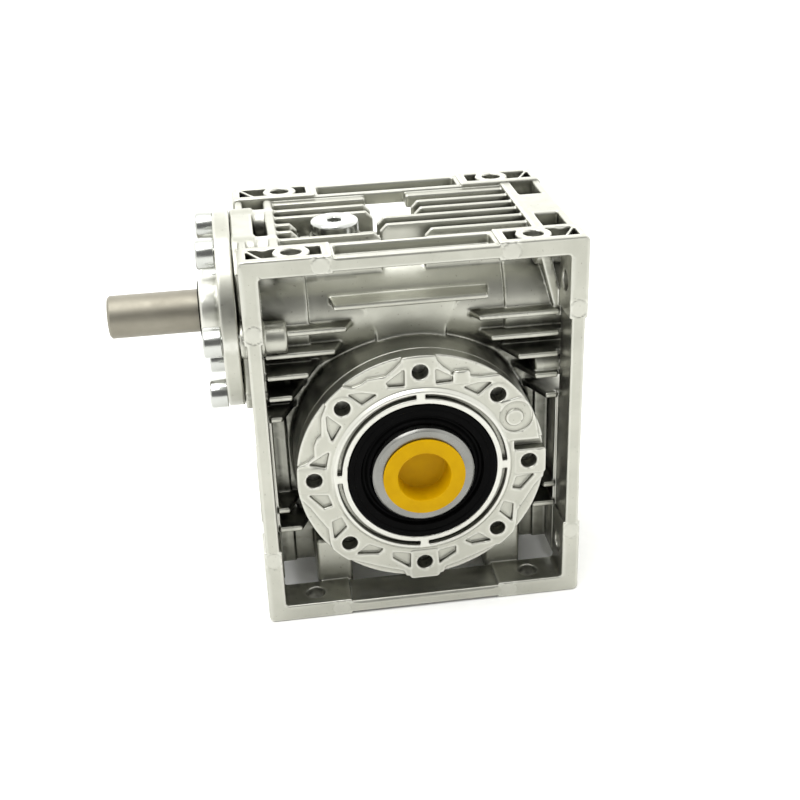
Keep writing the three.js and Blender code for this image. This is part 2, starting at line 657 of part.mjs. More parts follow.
// ---------- bore caps ----------
// A moulded cup that plugs each end of the hollow shaft and turns with it.
const makeBoreCap = (side) => {
  const { rimRadius, cupOuter, cupInner, rim, depth } = BORE_CAP;
  const end = OUTPUT.hubHalfLength + GAP;
  return turned('y', [
    [0, side * (end - depth)],
    [cupOuter, side * (end - depth)],
    [cupOuter, side * end],
    [rimRadius, side * end],
    [rimRadius, side * (end + rim)],
    [cupInner, side * (end + rim)],
    [cupInner, side * (end - depth + 1.2)],
    [0, side * (end - depth + 1.2)],
  ], 20);
};
place('front_bore_cap', makeBoreCap(-1), YELLOW_PLASTIC);
place('rear_bore_cap', makeBoreCap(1), YELLOW_PLASTIC);

// ---------- stand on the base ----------
// The origin is at the middle of the footprint, under the middle of the whole length, on the base face.
model.position.set(-(SHAFT.end + FRAME.side) / 2, 0, -FRAME.bottom);
const gearbox = new THREE.Group();
gearbox.add(model);

export default gearbox;
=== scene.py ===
import json
import math

import bmesh
import bpy
import numpy as np
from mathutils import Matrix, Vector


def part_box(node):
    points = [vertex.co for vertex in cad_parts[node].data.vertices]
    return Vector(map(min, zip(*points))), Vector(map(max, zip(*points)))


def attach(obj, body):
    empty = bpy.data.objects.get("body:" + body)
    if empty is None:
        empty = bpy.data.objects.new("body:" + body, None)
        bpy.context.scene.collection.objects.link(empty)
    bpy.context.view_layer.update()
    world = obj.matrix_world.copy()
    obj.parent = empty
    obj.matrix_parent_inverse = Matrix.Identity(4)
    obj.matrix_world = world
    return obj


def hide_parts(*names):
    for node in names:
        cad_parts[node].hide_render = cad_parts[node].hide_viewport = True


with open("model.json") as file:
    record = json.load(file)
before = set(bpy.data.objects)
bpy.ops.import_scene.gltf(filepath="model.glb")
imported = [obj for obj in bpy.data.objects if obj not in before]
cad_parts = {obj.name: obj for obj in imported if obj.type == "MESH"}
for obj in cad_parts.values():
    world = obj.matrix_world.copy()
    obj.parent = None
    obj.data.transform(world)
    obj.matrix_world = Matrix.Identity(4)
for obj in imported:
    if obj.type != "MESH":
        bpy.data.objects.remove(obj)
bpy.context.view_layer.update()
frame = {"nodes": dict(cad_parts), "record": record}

import openvdb as vdb
from mathutils import Matrix, Vector

scene = bpy.context.scene

# Everything is modelled in millimetres about the middle of the output axis: X along the worm towards its
# closed end, Y towards the rear, Z up. ORIGIN is that point in the row frame, in metres.
MM = 0.001
hub_low, hub_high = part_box("output_hub")
ORIGIN = (hub_low + hub_high) / 2
CENTRE_DISTANCE = 63.0  # from the output axis up to the worm's
WORM_AXIS = (0.0, CENTRE_DISTANCE)

# ---------------------------------------------------------------- sizes
SIDE, BOTTOM, TOP = 72.0, -72.0, 102.0  # outside of the square frame
HALF_DEPTH, RAIL, WALL = 51.5, 18.0, 8.0  # half the frame's depth, a rail's depth and its thickness
INNER = HALF_DEPTH - RAIL
FRAME_CORNER, WINDOW_CORNER = 2.6, 1.3  # corner radii outside and inside the frame
RELIEF = 1.0  # the rails are this much lower between their corner pads
PAD_X = 34.0  # where a pad starts on the top and bottom rails
PAD_LOW, PAD_HIGH = -34.5, 65.5  # and on the side rails
HOLE_RADIUS, HOLE_X, HOLE_Y = 4.25, 50.0, 42.5
HOLE_Z = (-50.0, 80.0)
BODY_RADIUS, BODY_FRONT, BODY_REAR = 63.0, -20.0, 30.0
BARREL_RADIUS = 55.0
RING_BACK = -43.0  # where the finely modelled flange ring meets the barrel
SEAL_BORE = 37.8  # the castings' bore behind the seals


def on_side(side, near, far):
    """A span on the positive or the negative side of the middle, lowest end first."""
    return sorted((side * near, side * far))


def on_circle(count, radius, offset=0.0):
    angles = [offset + 2 * math.pi * k / count for k in range(count)]
    return [(radius * math.sin(a), radius * math.cos(a)) for a in angles]


# ---------------------------------------------------------------- flat outlines
# An outline is its lowest corner, its highest corner and a function that gives signed distances to it.
def circle(u0, v0, radius):
    low, high = (u0 - radius, v0 - radius), (u0 + radius, v0 + radius)
    return low, high, lambda u, v: np.hypot(u - u0, v - v0) - radius


def rectangle(u, v, corner=0.0):
    cu, cv = (u[0] + u[1]) / 2, (v[0] + v[1]) / 2
    hu, hv = (u[1] - u[0]) / 2 - corner, (v[1] - v[0]) / 2 - corner

    def distance(a, b):
        qa, qb = np.abs(a - cu) - hu, np.abs(b - cv) - hv
        return np.hypot(np.maximum(qa, 0), np.maximum(qb, 0)) + np.minimum(np.maximum(qa, qb), 0) - corner

    return (u[0], v[0]), (u[1], v[1]), distance


def polygon(points, swell=0.0):
    """A closed outline through the points, grown by swell with round corners."""
    pts = np.array(points, float)
    low, high = pts.min(0) - swell, pts.max(0) + swell

    def distance(u, v):
        u, v = np.broadcast_arrays(u, v)
        nearest = np.full(u.shape, 1e9)
        inside = np.zeros(u.shape, bool)
        for (au, av), (bu, bv) in zip(pts, np.roll(pts, -1, axis=0)):
            eu, ev = bu - au, bv - av
            if eu == 0 and ev == 0:
                continue
            t = np.clip(((u - au) * eu + (v - av) * ev) / (eu * eu + ev * ev), 0, 1)
            nearest = np.minimum(nearest, (u - au - t * eu) ** 2 + (v - av - t * ev) ** 2)
            if ev:
                crosses = ((av > v) != (bv > v)) & (u < au + (v - av) * eu / ev)
                inside ^= crosses
        return np.where(inside, -1.0, 1.0) * np.sqrt(nearest) - swell

    return tuple(low), tuple(high), distance


def stroke(a, b, width):
    """A straight bar with round ends from a to b."""
    a, b = np.array(a, float), np.array(b, float)
    half = width / 2

    def distance(u, v):
        e = b - a
        t = np.clip(((u - a[0]) * e[0] + (v - a[1]) * e[1]) / (e @ e), 0, 1)
        return np.hypot(u - a[0] - t * e[0], v - a[1] - t * e[1]) - half

    return tuple(np.minimum(a, b) - half), tuple(np.maximum(a, b) + half), distance


def band(u0, v0, inner, outer):
    """What lies between two circles."""
    middle, half = (inner + outer) / 2, (outer - inner) / 2
    low, high = (u0 - outer, v0 - outer), (u0 + outer, v0 + outer)
    return low, high, lambda u, v: np.abs(np.hypot(u - u0, v - v0) - middle) - half


def both(a, b):
    """Where two outlines overlap."""
    low = tuple(np.maximum(a[0], b[0]))
    high = tuple(np.minimum(a[1], b[1]))
    return low, high, lambda u, v: np.maximum(a[2](u, v), b[2](u, v))


def without(a, *holes):
    """An outline less the others."""
    def distance(u, v):
        d = a[2](u, v)
        for hole in holes:
            d = np.maximum(d, -hole[2](u, v))
        return d

    return a[0], a[1], distance


def any_of(*outlines):
    """Everything that lies in one of the outlines."""
    low = tuple(np.min([o[0] for o in outlines], axis=0))
    high = tuple(np.max([o[1] for o in outlines], axis=0))

    def distance(u, v):
        d = outlines[0][2](u, v)
        for o in outlines[1:]:
            d = np.minimum(d, o[2](u, v))
        return d

    return low, high, distance


# ---------------------------------------------------------------- solids, in the same form
def prism(axis, outline, span, edge=0.0):
    """An outline drawn in the other two axes, run along one axis, with its end edges rounded."""
    (u0, v0), (u1, v1), flat = outline
    k = "xyz".index(axis)
    others = [i for i in range(3) if i != k]
    low, high = [0.0] * 3, [0.0] * 3
    low[k], high[k] = span
    low[others[0]], low[others[1]] = u0, v0
    high[others[0]], high[others[1]] = u1, v1
    middle, half = (span[0] + span[1]) / 2, (span[1] - span[0]) / 2

    def distance(x, y, z):
        c = (x, y, z)
        p = flat(c[others[0]], c[others[1]]).astype(np.float32) + edge
        q = (np.abs(c[k] - middle) - half + edge).astype(np.float32)
        outside = np.sqrt(np.maximum(p, 0) ** 2 + np.maximum(q, 0) ** 2)
        return outside + np.minimum(np.maximum(p, q), 0) - edge

    return low, high, distance


def block(x, y, z, edge=0.0):
    return prism("z", rectangle(x, y, edge), z, edge)


def rod(axis, radius, span, centre=(0.0, 0.0), edge=0.0):
    return prism(axis, circle(centre[0], centre[1], radius), span, edge)


def cone(axis, near, far, span, centre=(0.0, 0.0)):
    """A round taper: radius near at the span's start and far at its end."""
    k = "xyz".index(axis)
    others = [i for i in range(3) if i != k]
    big = max(near, far)
    low, high = [0.0] * 3, [0.0] * 3
    low[k], high[k] = span
    for i, c in zip(others, centre):
        low[i], high[i] = c - big, c + big
    slope = (far - near) / (span[1] - span[0])
    tilt = math.cos(math.atan(slope))

    def distance(x, y, z):
        c = (x, y, z)
        rho = np.hypot(c[others[0]] - centre[0], c[others[1]] - centre[1])
        wall = (rho - near - slope * (c[k] - span[0])) * tilt
        return np.maximum(wall, np.maximum(span[0] - c[k], c[k] - span[1])).astype(np.float32)

    return low, high, distance


def smooth_min(a, b, k):
    """The lower of two fields, with a fillet of about k where they meet."""
    if k <= 0:
        return np.minimum(a, b)
    h = np.maximum(k - np.abs(a - b), 0) / k
    return np.minimum(a, b) - h * h * (k / 4)


FAR = 6.0  # the distance that a field holds where no shape is near
MARGIN = 4  # grid steps round a shape in which its field is worked out
# This depth feeds the edge and crease amounts, which give the alloy a painted highlight on outer edges and painted
# shade in inner creases.
PROBE_DEPTH = 1.3  # how deep the field is felt for edges and inner corners
# Rays and distances for the occlusion amount that is painted into the alloy as shade.
OCCLUSION_RAYS, OCCLUSION_STEPS = 26, (2.5, 6, 11, 18, 30)
GOLDEN_ANGLE = math.pi * (3 - math.sqrt(5))
FINE, MEDIUM, COARSE = 0.3, 0.4, 0.5  # grid steps


class Casting:
    """A solid as a field of distances on a regular grid, negative inside."""

    def __init__(self, low, high, step):
        self.step = step
        self.low = np.array(low, float)
        self.axes = [np.arange(a, b + step, step).astype(np.float32) for a, b in zip(low, high)]
        self.field = np.full([len(a) for a in self.axes], FAR, np.float32)

    def window(self, shape, margin):
        """The part of the grid round a shape, and the shape's field there."""
        cuts = []
        for values, a, b in zip(self.axes, shape[0], shape[1]):
            cuts.append(slice(*np.searchsorted(values, (a - margin, b + margin))))
        x, y, z = (values[c] for values, c in zip(self.axes, cuts))
        return tuple(cuts), shape[2](x[:, None, None], y[None, :, None], z[None, None, :])

    def add(self, shape, fillet=0.0):
        cuts, d = self.window(shape, fillet + MARGIN * self.step)
        self.field[cuts] = smooth_min(self.field[cuts], d, fillet)

    def cut(self, shape, fillet=0.0):
        cuts, d = self.window(shape, fillet + MARGIN * self.step)
        self.field[cuts] = -smooth_min(-self.field[cuts], d, fillet)

    def sample(self, points):
        """The field at any points, blended between the eight grid points round each."""
        g = (points - self.low) / self.step
        i = np.clip(np.floor(g).astype(int), 0, np.array(self.field.shape) - 2)
        t = (g - i).astype(np.float32)
        total = 0
        for corner in range(8):
            o = [(corner >> k) & 1 for k in range(3)]
            w = np.prod([t[:, k] if o[k] else 1 - t[:, k] for k in range(3)], axis=0)
            total = total + w * self.field[i[:, 0] + o[0], i[:, 1] + o[1], i[:, 2] + o[2]]
        return total

    def painted_shade(self, points, normals):
        """The share of what each point looks out on that the casting itself blocks, which the alloy paints as shade.
        """
        start = points + 1.5 * self.step * normals
        blocked = np.zeros(len(points), np.float32)
        total = np.full(len(points), 1e-6, np.float32)
        last = np.array(self.field.shape) - 1
        for k in range(OCCLUSION_RAYS):
            height = 1 - (2 * k + 1) / OCCLUSION_RAYS
            level, turn = math.sqrt(1 - height**2), k * GOLDEN_ANGLE
            ray = np.array((level * math.cos(turn), level * math.sin(turn), height))
            weight = np.maximum(normals @ ray, 0).astype(np.float32)
            hit = np.zeros(len(points), bool)
            for distance in OCCLUSION_STEPS:
                place = np.rint((start + distance * ray - self.low) / self.step).astype(int)
                within = ((place >= 0) & (place <= last)).all(axis=1)
                place = np.clip(place, 0, last)
                hit |= within & (self.field[place[:, 0], place[:, 1], place[:, 2]] < 0)
            blocked += weight * hit
            total += weight
        return blocked / total

    def slope(self, points):
        """The unit direction in which the field rises fastest at each point."""
        reach = 0.6 * self.step * np.eye(3)
        rises = [self.sample(points + along) - self.sample(points - along) for along in reach]
        normals = np.stack(rises, axis=1)
        return normals / np.maximum(np.linalg.norm(normals, axis=1, keepdims=True), 1e-6)

    def mesh(self, name, adaptivity=0.02):
        """The surface as a mesh whose points know how far they are an edge, a crease or hemmed in by the casting:
        amounts used for painted highlight and painted shade.
        """
        grid = vdb.FloatGrid(FAR)
        grid.copyFromArray(np.clip(self.field, -FAR, FAR))
        points, triangles, quads = grid.convertToPolygons(isovalue=0.0, adaptivity=adaptivity)
        points = points * self.step + self.low
        normals = self.slope(points)
        faces = [*triangles.tolist(), *quads.tolist()]
        some = np.array([f[:3] for f in faces[:: max(1, len(faces) // 2000)]])
        a, b, c = (points[some[:, k]] for k in range(3))
        if (np.cross(b - a, c - a) * normals[some[:, 0]]).sum() < 0:
            faces = [f[::-1] for f in faces]
        data = bpy.data.meshes.new(name)
        data.from_pydata((points * MM + np.array(ORIGIN)).tolist(), [], faces)
        data.polygons.foreach_set("use_smooth", [True] * len(data.polygons))
        data.normals_split_custom_set_from_vertices(normals.tolist())
        # How much the casting blocks round each point; the alloy paints this as shade.
        amounts = {"painted_shade": self.painted_shade(points, normals)}
        # Outer edges get a painted highlight and inner creases painted shade from these amounts.
        for label, sign in (("edge", -1), ("crease", 1)):
            away = self.sample(points + sign * PROBE_DEPTH * normals)
            amounts[label] = np.clip((PROBE_DEPTH - sign * away) / (0.6 * PROBE_DEPTH), 0, 1)
        for label, amount in amounts.items():
            values = data.attributes.new(label, "FLOAT", "POINT").data
            values.foreach_set("value", amount.astype(np.float32))
        return data


# ---------------------------------------------------------------- housing
FIN_THICKNESS, FIN_EDGE, FIN_PITCH = 2.7, 0.9, 10.0
FIN_FRONT, FIN_END, FIN_OUTER = 36.0, 64.0, 70.2  # a side fin's reach in Y, and in X inside and between the rails
FIN_LEVELS = (-33, -23, 23, 33, 43, 53, 63)
FIN_SLOPE = 7.0  # a side fin is this much deeper at its root
TOP_FIN_ROOT, TOP_FIN_CREST, TOP_FIN_SLOPE = 80.0, 99.8, 3.0
WORM_RADIUS, WORM_END_RADIUS = 28.5, 30.0  # the worm's tube, and its thicker ends
WORM_LEFT_STEP, WORM_RIGHT_STEP, WORM_RIGHT_END = -44.0, 41.0, 70.0
TUNNEL_RADIUS, WORM_SEAT_RADIUS, WORM_SEAT = 20.0, 23.8, 45.7  # inside it, and where its bearing seats begin
CHAMBER_RADIUS, CHAMBER_FRONT, COVER_BORE = 55.0, -19.0, 63.0
INPUT_FACE, DISC_BACK, DISC_FRONT, DISC_RADIUS = -73.7, -74.0, -81.0, 43.5
INPUT_CIRCLE, INPUT_COUNT, INPUT_TURN = 37.5, 6, math.pi / 6
INPUT_SCREW_PLACES = on_circle(INPUT_COUNT, INPUT_CIRCLE, INPUT_TURN)
PLUG_X, PLUG_SEAT, PLUG_BOSS, PLUG_BORE = -28.5, 94.0, 11.4, 6.2
GATE_RADIUS = 3.6  # the round gate marks on the front of the frame
GATE_PLACES = ((39.0, TOP - 4), (39.0, BOTTOM + 4), (SIDE - 4.2, 70.5), (SIDE - 4.2, -39.0))
NECK = [(-24, 74), (-20.5, 69), (-17.5, 64), (-15.6, 58), (-15, 48), (15, 48), (15.6, 58), (17.5, 64),
        (20.5, 69), (24, 74)]
# Thin webs that close the corners between the body and the side rails, as spans in X and Y.
WEB_HEIGHT = (-60, 23)
WEBS = (
    ((63.4, 64.6), (-34.2, -18)), ((63.4, 66.0), (-34.2, -32.2)), ((57.0, 64.6), (-20.9, -18)),
    ((63.4, 64.6), (28, 34.2)), ((63.4, 66.0), (32.2, 34.2)), ((57.0, 64.6), (28, 29.9)),
)


def frame_outline():
    """The square frame seen from the front: thicker at its four corners."""
    def inset(depth, corner):
        return rectangle((-SIDE + depth, SIDE - depth), (BOTTOM + depth, TOP - depth), corner)

    def hoop(outer, inner):
        return without(inset(outer, FRAME_CORNER), inset(inner, WINDOW_CORNER))

    beyond = 20.0
    pads = without(
        hoop(0.0, WALL),
        rectangle((-PAD_X, PAD_X), (BOTTOM - beyond, TOP + beyond)),
        rectangle((-SIDE - beyond, SIDE + beyond), (PAD_LOW, PAD_HIGH)),
    )
    return any_of(pads, hoop(RELIEF, WALL - RELIEF))


def rail_cuts(casting):
    """Pockets with a rib round the bosses of the mounting holes, and a shallow channel between them."""
    pocket_x, pocket_y, pocket_depth, pocket_corner = (38.0, 68.3), (37.2, 48.0), 4.2, 0.8
    boss_radius, rib, rib_x, rib_y = 7.6, 1.1, (68.6, 62.0), (49.0, 36.5)
    channel_x, channel_y, channel_depth, channel_corner = 32.6, (36.2, 48.2), 5.2, 1.2
    hole_depth = 11.0
    sides = (-1, 1)
    corners = [(sx, sy) for sx in sides for sy in sides]
    for level, outward in ((TOP, 1), (BOTTOM, -1)):

        def down(depth, above=2):
            return sorted((level - outward * depth, level + outward * above))

        for sx, sy in corners:
            ends = rib_y if sy > 0 else (-rib_y[1], -rib_y[0])
            hollow = without(
                rectangle(on_side(sx, *pocket_x), on_side(sy, *pocket_y), pocket_corner),
                circle(sx * HOLE_X, sy * HOLE_Y, boss_radius),
                stroke((sx * rib_x[0], ends[0]), (sx * rib_x[1], ends[1]), rib),
            )
            casting.cut(prism("z", hollow, down(pocket_depth)), 0.5)
        for sy in sides:
            strip = rectangle((-channel_x, channel_x), on_side(sy, *channel_y), channel_corner)
            casting.cut(prism("z", strip, down(channel_depth)), 0.6)
        for sx, sy in corners:
            hole = circle(sx * HOLE_X, sy * HOLE_Y, HOLE_RADIUS)
            casting.cut(prism("z", hole, down(hole_depth, 3)), 0.4)
    for sx, sy in corners:
        for z in HOLE_Z:
            hole = circle(sy * HOLE_Y, z, HOLE_RADIUS)
            casting.cut(prism("x", hole, on_side(sx, SIDE - hole_depth, SIDE + 3)), 0.4)


def side_fin(level, sx):
    start = 28.7 if level > 60 else math.sqrt(BODY_RADIUS**2 - level**2)
    root = start - FIN_SLOPE
    points = [
        (start, -FIN_FRONT), (FIN_END, -FIN_FRONT), (FIN_END, -INNER), (FIN_OUTER, -INNER), (FIN_OUTER, INNER),
        (FIN_END, INNER), (FIN_END, FIN_FRONT), (start, FIN_FRONT), (root, -BODY_FRONT), (root, BODY_FRONT),
    ]
    half = FIN_THICKNESS / 2
    return prism("z", polygon([(sx * x, y) for x, y in points]), (level - half, level + half), FIN_EDGE)


def top_fins():
    """Fins along the worm's tube, with a gap round the plug, and a block at each end of the outer ones."""
    left_end, right_end = -57, 54
    outer_row = ((left_end, -10.5), (8, right_end))
    middle_row = ((left_end, -45), (-10, right_end))
    half = FIN_THICKNESS / 2
    shapes = []
    for y, row in ((-20, outer_row), (-10, middle_row), (0, middle_row), (10, outer_row), (20, outer_row)):
        for x0, x1 in row:
            a = 0 if x0 == left_end else TOP_FIN_SLOPE
            b = 0 if x1 == right_end else TOP_FIN_SLOPE
            outline = polygon([
                (x0, TOP_FIN_ROOT), (x0, TOP_FIN_CREST - a), (x0 + a, TOP_FIN_CREST),
                (x1 - b, TOP_FIN_CREST), (x1, TOP_FIN_CREST - b), (x1, TOP_FIN_ROOT),
            ])
            shapes.append(prism("y", outline, (y - half, y + half), FIN_EDGE))
    for side in (-1, 1):
        for x in ((left_end, -11.5), (7, right_end)):
            shapes.append(block(x, on_side(side, 28.9, 34.5), (93.6, TOP_FIN_CREST), 1.2))
    return shapes


def add_body(casting):
    """The wheel chamber with its foot and barrel, the worm's tube, the neck between them and the plug's boss."""
    casting.add(rod("y", BODY_RADIUS, (BODY_FRONT, BODY_REAR), edge=1.0))
    casting.add(block((-66, 66), (BODY_FRONT, -BODY_FRONT), (-60, -37), 1.5), 2.0)
    casting.add(rod("y", BARREL_RADIUS, (RING_BACK, 0)), 2.5)
    casting.add(rod("x", WORM_RADIUS, (-60, 60), WORM_AXIS), 1.5)
    casting.add(prism("y", polygon(NECK), (-28.6, 27), 0.8), 0.8)
    casting.add(rod("x", WORM_END_RADIUS, (-66, WORM_LEFT_STEP), WORM_AXIS, 0.6), 0.5)
    casting.add(rod("x", WORM_END_RADIUS, (WORM_RIGHT_STEP, WORM_RIGHT_END), WORM_AXIS, 1.2), 0.5)
    casting.add(rod("z", PLUG_BOSS, (84, PLUG_SEAT), (PLUG_X, 0), 0.6), 2.0)


def add_worm_ends(casting):
    """The plate and bosses that the input flange is screwed to, and the four posts at the closed end."""
    plate = both(circle(0, CENTRE_DISTANCE, DISC_RADIUS - 0.5), rectangle((-33.3, 33.3), (0, 101)))
    casting.add(prism("x", plate, (INPUT_FACE, -64), 0.8))
    for y, z in INPUT_SCREW_PLACES:
        centre = (y, min(z + CENTRE_DISTANCE, 93.9))
        casting.add(rod("x", 8.0, (INPUT_FACE, -63.5), centre, 0.8), 0.8)
        casting.add(rod("x", 7.0, (-66, -54), centre, 1.2), 0.8)
    apart = 26.5
    for sy in (-1, 1):
        for sz in (-1, 1):
            centre = (apart * sy, CENTRE_DISTANCE + apart * sz)
            casting.add(rod("x", 7.0, (54, WORM_RIGHT_END), centre, 1.2), 0.8)


def add_bars(casting):
    """Bars and posts between the front and the rear rails, and the thin webs."""
    across = (-INNER - 0.2, INNER + 0.2)
    bar_inside, bar_outside, bar_bottom = 67.6, SIDE - RELIEF, (BOTTOM + RELIEF, -60)
    for sx in (-1, 1):
        casting.add(block(on_side(sx, bar_inside, bar_outside), across, (90, TOP - RELIEF), 1.0))
    casting.add(block((-58.4, -54.2), across, (88, TOP - RELIEF), 1.6))
    slanted_bar, corner_plate = [(63, 60), (67.5, 60), (57, 101), (52.2, 101)], [(64, 62), (69, 62), (69, 101), (55, 101)]
    casting.add(prism("y", polygon(slanted_bar), across, 0.7), 0.6)
    casting.add(prism("y", polygon(corner_plate), (-14, 14), 0.7), 0.6)
    for sx in (-1, 1):
        casting.add(block(on_side(sx, bar_inside, bar_outside), across, bar_bottom, 1.0))
        casting.add(block(on_side(sx, 31.5, 48), across, (BOTTOM + 3, -42), 2.0), 1.5)
    for x, y in WEBS:
        for sx in (-1, 1):
            casting.add(block(on_side(sx, *x), y, WEB_HEIGHT, 0.3), 0.3)


def add_fins(casting):
    for level in FIN_LEVELS:
        for sx in (-1, 1):
            casting.add(side_fin(level, sx), 1.2)
    collar = CENTRE_DISTANCE + FIN_PITCH
    for side in (-1, 1):
        outline = polygon([(-33.5, side * FIN_FRONT), (32.5, side * FIN_FRONT), (37, 0), (-38, 0)])
        casting.add(prism("z", outline, (collar - 1.4, collar + 1.4), FIN_EDGE), 1.2)
    for fin in top_fins():
        casting.add(fin, 1.0)


def add_square_frame(casting):
    outline = frame_outline()
    for span in ((-HALF_DEPTH, -INNER), (INNER, HALF_DEPTH)):
        casting.add(prism("y", outline, span, 0.7))
    rail_cuts(casting)
    for x, z in GATE_PLACES:
        for sx in (-1, 1):
            casting.cut(rod("y", GATE_RADIUS + 0.6, (-HALF_DEPTH - 1, -HALF_DEPTH + 0.3), (sx * x, z)))
            casting.add(rod("y", GATE_RADIUS, (-HALF_DEPTH, -HALF_DEPTH + 1), (sx * x, z)))


def cut_hollows(casting):
    """What is open inside: the plug's hole, the wheel chamber, the seal bore, the tunnel and its bearing seats."""
    casting.cut(rod("z", PLUG_BOSS + 0.1, (PLUG_SEAT, TOP + 5), (PLUG_X, 0)))
    casting.cut(rod("z", PLUG_BORE, (78, PLUG_SEAT + 1), (PLUG_X, 0)))
    casting.cut(rod("y", CHAMBER_RADIUS, (CHAMBER_FRONT, BODY_REAR + 0.5)))
    casting.cut(rod("y", COVER_BORE, (BODY_REAR, 45)))
    casting.cut(rod("y", SEAL_BORE, (-46, CHAMBER_FRONT + 1)))
    casting.cut(rod("x", TUNNEL_RADIUS, (-50, 50), WORM_AXIS))
    casting.cut(rod("x", WORM_SEAT_RADIUS, (INPUT_FACE - 2, -WORM_SEAT), WORM_AXIS))
    casting.cut(rod("x", WORM_SEAT_RADIUS, (WORM_SEAT, WORM_RIGHT_END + 2), WORM_AXIS), 0.5)
    for y, z in INPUT_SCREW_PLACES:
        casting.cut(rod("x", 3.5, (INPUT_FACE - 1, -56), (y, z + CENTRE_DISTANCE)))


def make_housing():
    low = (-SIDE - 3, -HALF_DEPTH - 1.5, BOTTOM - 1.5)
    high = (SIDE + 1.5, HALF_DEPTH + 1.5, TOP + 2)
    casting = Casting(low, high, COARSE)
    for step in (add_body, add_worm_ends, add_bars, add_fins, add_square_frame, cut_hollows):
        step(casting)
    return casting


# ---------------------------------------------------------------- output flange ring
RING_FACE = -HALF_DEPTH
RING_PLACES, TAP_RADIUS, TAP_DEPTH = on_circle(8, 47.5), 3.4, 7.5
SPIGOT_RADIUS, SPIGOT_FACE = 40.0, -53.0
SLOT_INNER, SLOT_OUTER, SLOT_DEPTH, BRIDGE = 35.5, 37.5, 3.2, 4.0
SEAL_SEAT = 33.0
FIELD_DEPTH, POCKET_DEPTH = 1.3, 1.9


def mirrored(points):
    return [(-x, z) for x, z in points]


# Low fields between the raised lands, as (x, z) outlines.
UPPER_LEFT = [(-34.5, 44.8), (-29, 43.3), (-25.5, 44.4), (-22.5, 46.5), (-19, 46.7), (-15, 47.2),
              (-11.5, 50), (-8.5, 53), (-7, 57), (-20, 62), (-38, 52)]
UPPER_RIGHT = [(6.3, 57), (8, 52), (10, 49.5), (13.6, 46.6), (13.6, 45.2), (22, 45.2), (22, 44), (27, 43.3),
               (33.8, 43.6), (38, 52), (20, 62)]
LEFT = [(-58, 6.5), (-54.5, 7.6), (-50, 9.5), (-47.2, 12), (-47, 17), (-45.5, 20.5), (-43.6, 22),
        (-43.2, 30), (-41, 35.5), (-46, 42), (-62, 30)]
LOWER_LEFT = [(-58, -8), (-53.5, -10), (-50.5, -13.5), (-47.3, -19), (-43.2, -25.5), (-42.6, -33),
              (-41.5, -37.5), (-48, -42), (-62, -26)]
BOTTOM_LEFT = [(-38, -42.6), (-33, -43.2), (-27, -45.5), (-21, -48), (-15, -50.2), (-10, -51.8), (-8, -57),
               (-20, -62), (-40, -50)]
FIELDS = (UPPER_LEFT, UPPER_RIGHT, LEFT, LOWER_LEFT, BOTTOM_LEFT, mirrored(LOWER_LEFT), mirrored(BOTTOM_LEFT))
STEP_FIELD = [(51.8, 10), (50.6, 20), (47.5, 28.5), (43, 36), (52, 36), (60, 10)]
STEP_BLOCK = [(35, 29.5), (35.5, 10.9), (51.6, 10.9), (50.3, 20), (47.3, 28), (43.5, 31.5)]
POCKETS = (
    [(-30.2, 39.4), (-25, 34.9), (-19.4, 38.4), (-25, 39.6)],
    [(-14, 43.4), (-13.4, 42), (-7.2, 41.8), (-7, 48.4)],
    [(-40.2, 30), (-40, 24), (-38.6, 19), (-35, 25)],
    [(-48.6, 7.9), (-42.3, 6.2), (-40.8, 12.6)],
    [(-49.5, -7.6), (-44, -14), (-40.8, -13.2), (-42.4, -8.4)],
    [(-40, -30), (-35, -25), (-36.8, -20.5), (-40.4, -22)],
    [(-30, -39.6), (-21, -40.4), (-19.3, -38.7), (-25, -36)],
    [(-14, -41.4), (-14, -44), (-7, -49.4), (-6.8, -42.8)],
    [(30.2, 39.4), (25, 34.9), (19.4, 38.4), (25, 39.6)],
    [(14, 43.4), (13.4, 42), (7.2, 41.8), (7, 47.6)],
    [(49.5, -7.6), (44, -14), (40.8, -13.2), (42.4, -8.4)],
    [(40, -30), (35, -25), (36.8, -20.5), (40.4, -22)],
    [(30, -39.6), (22, -40.4), (19.3, -38.7), (25, -36)],
    [(14, -41.4), (14, -44), (7, -48.6), (6.8, -42.8)],
)


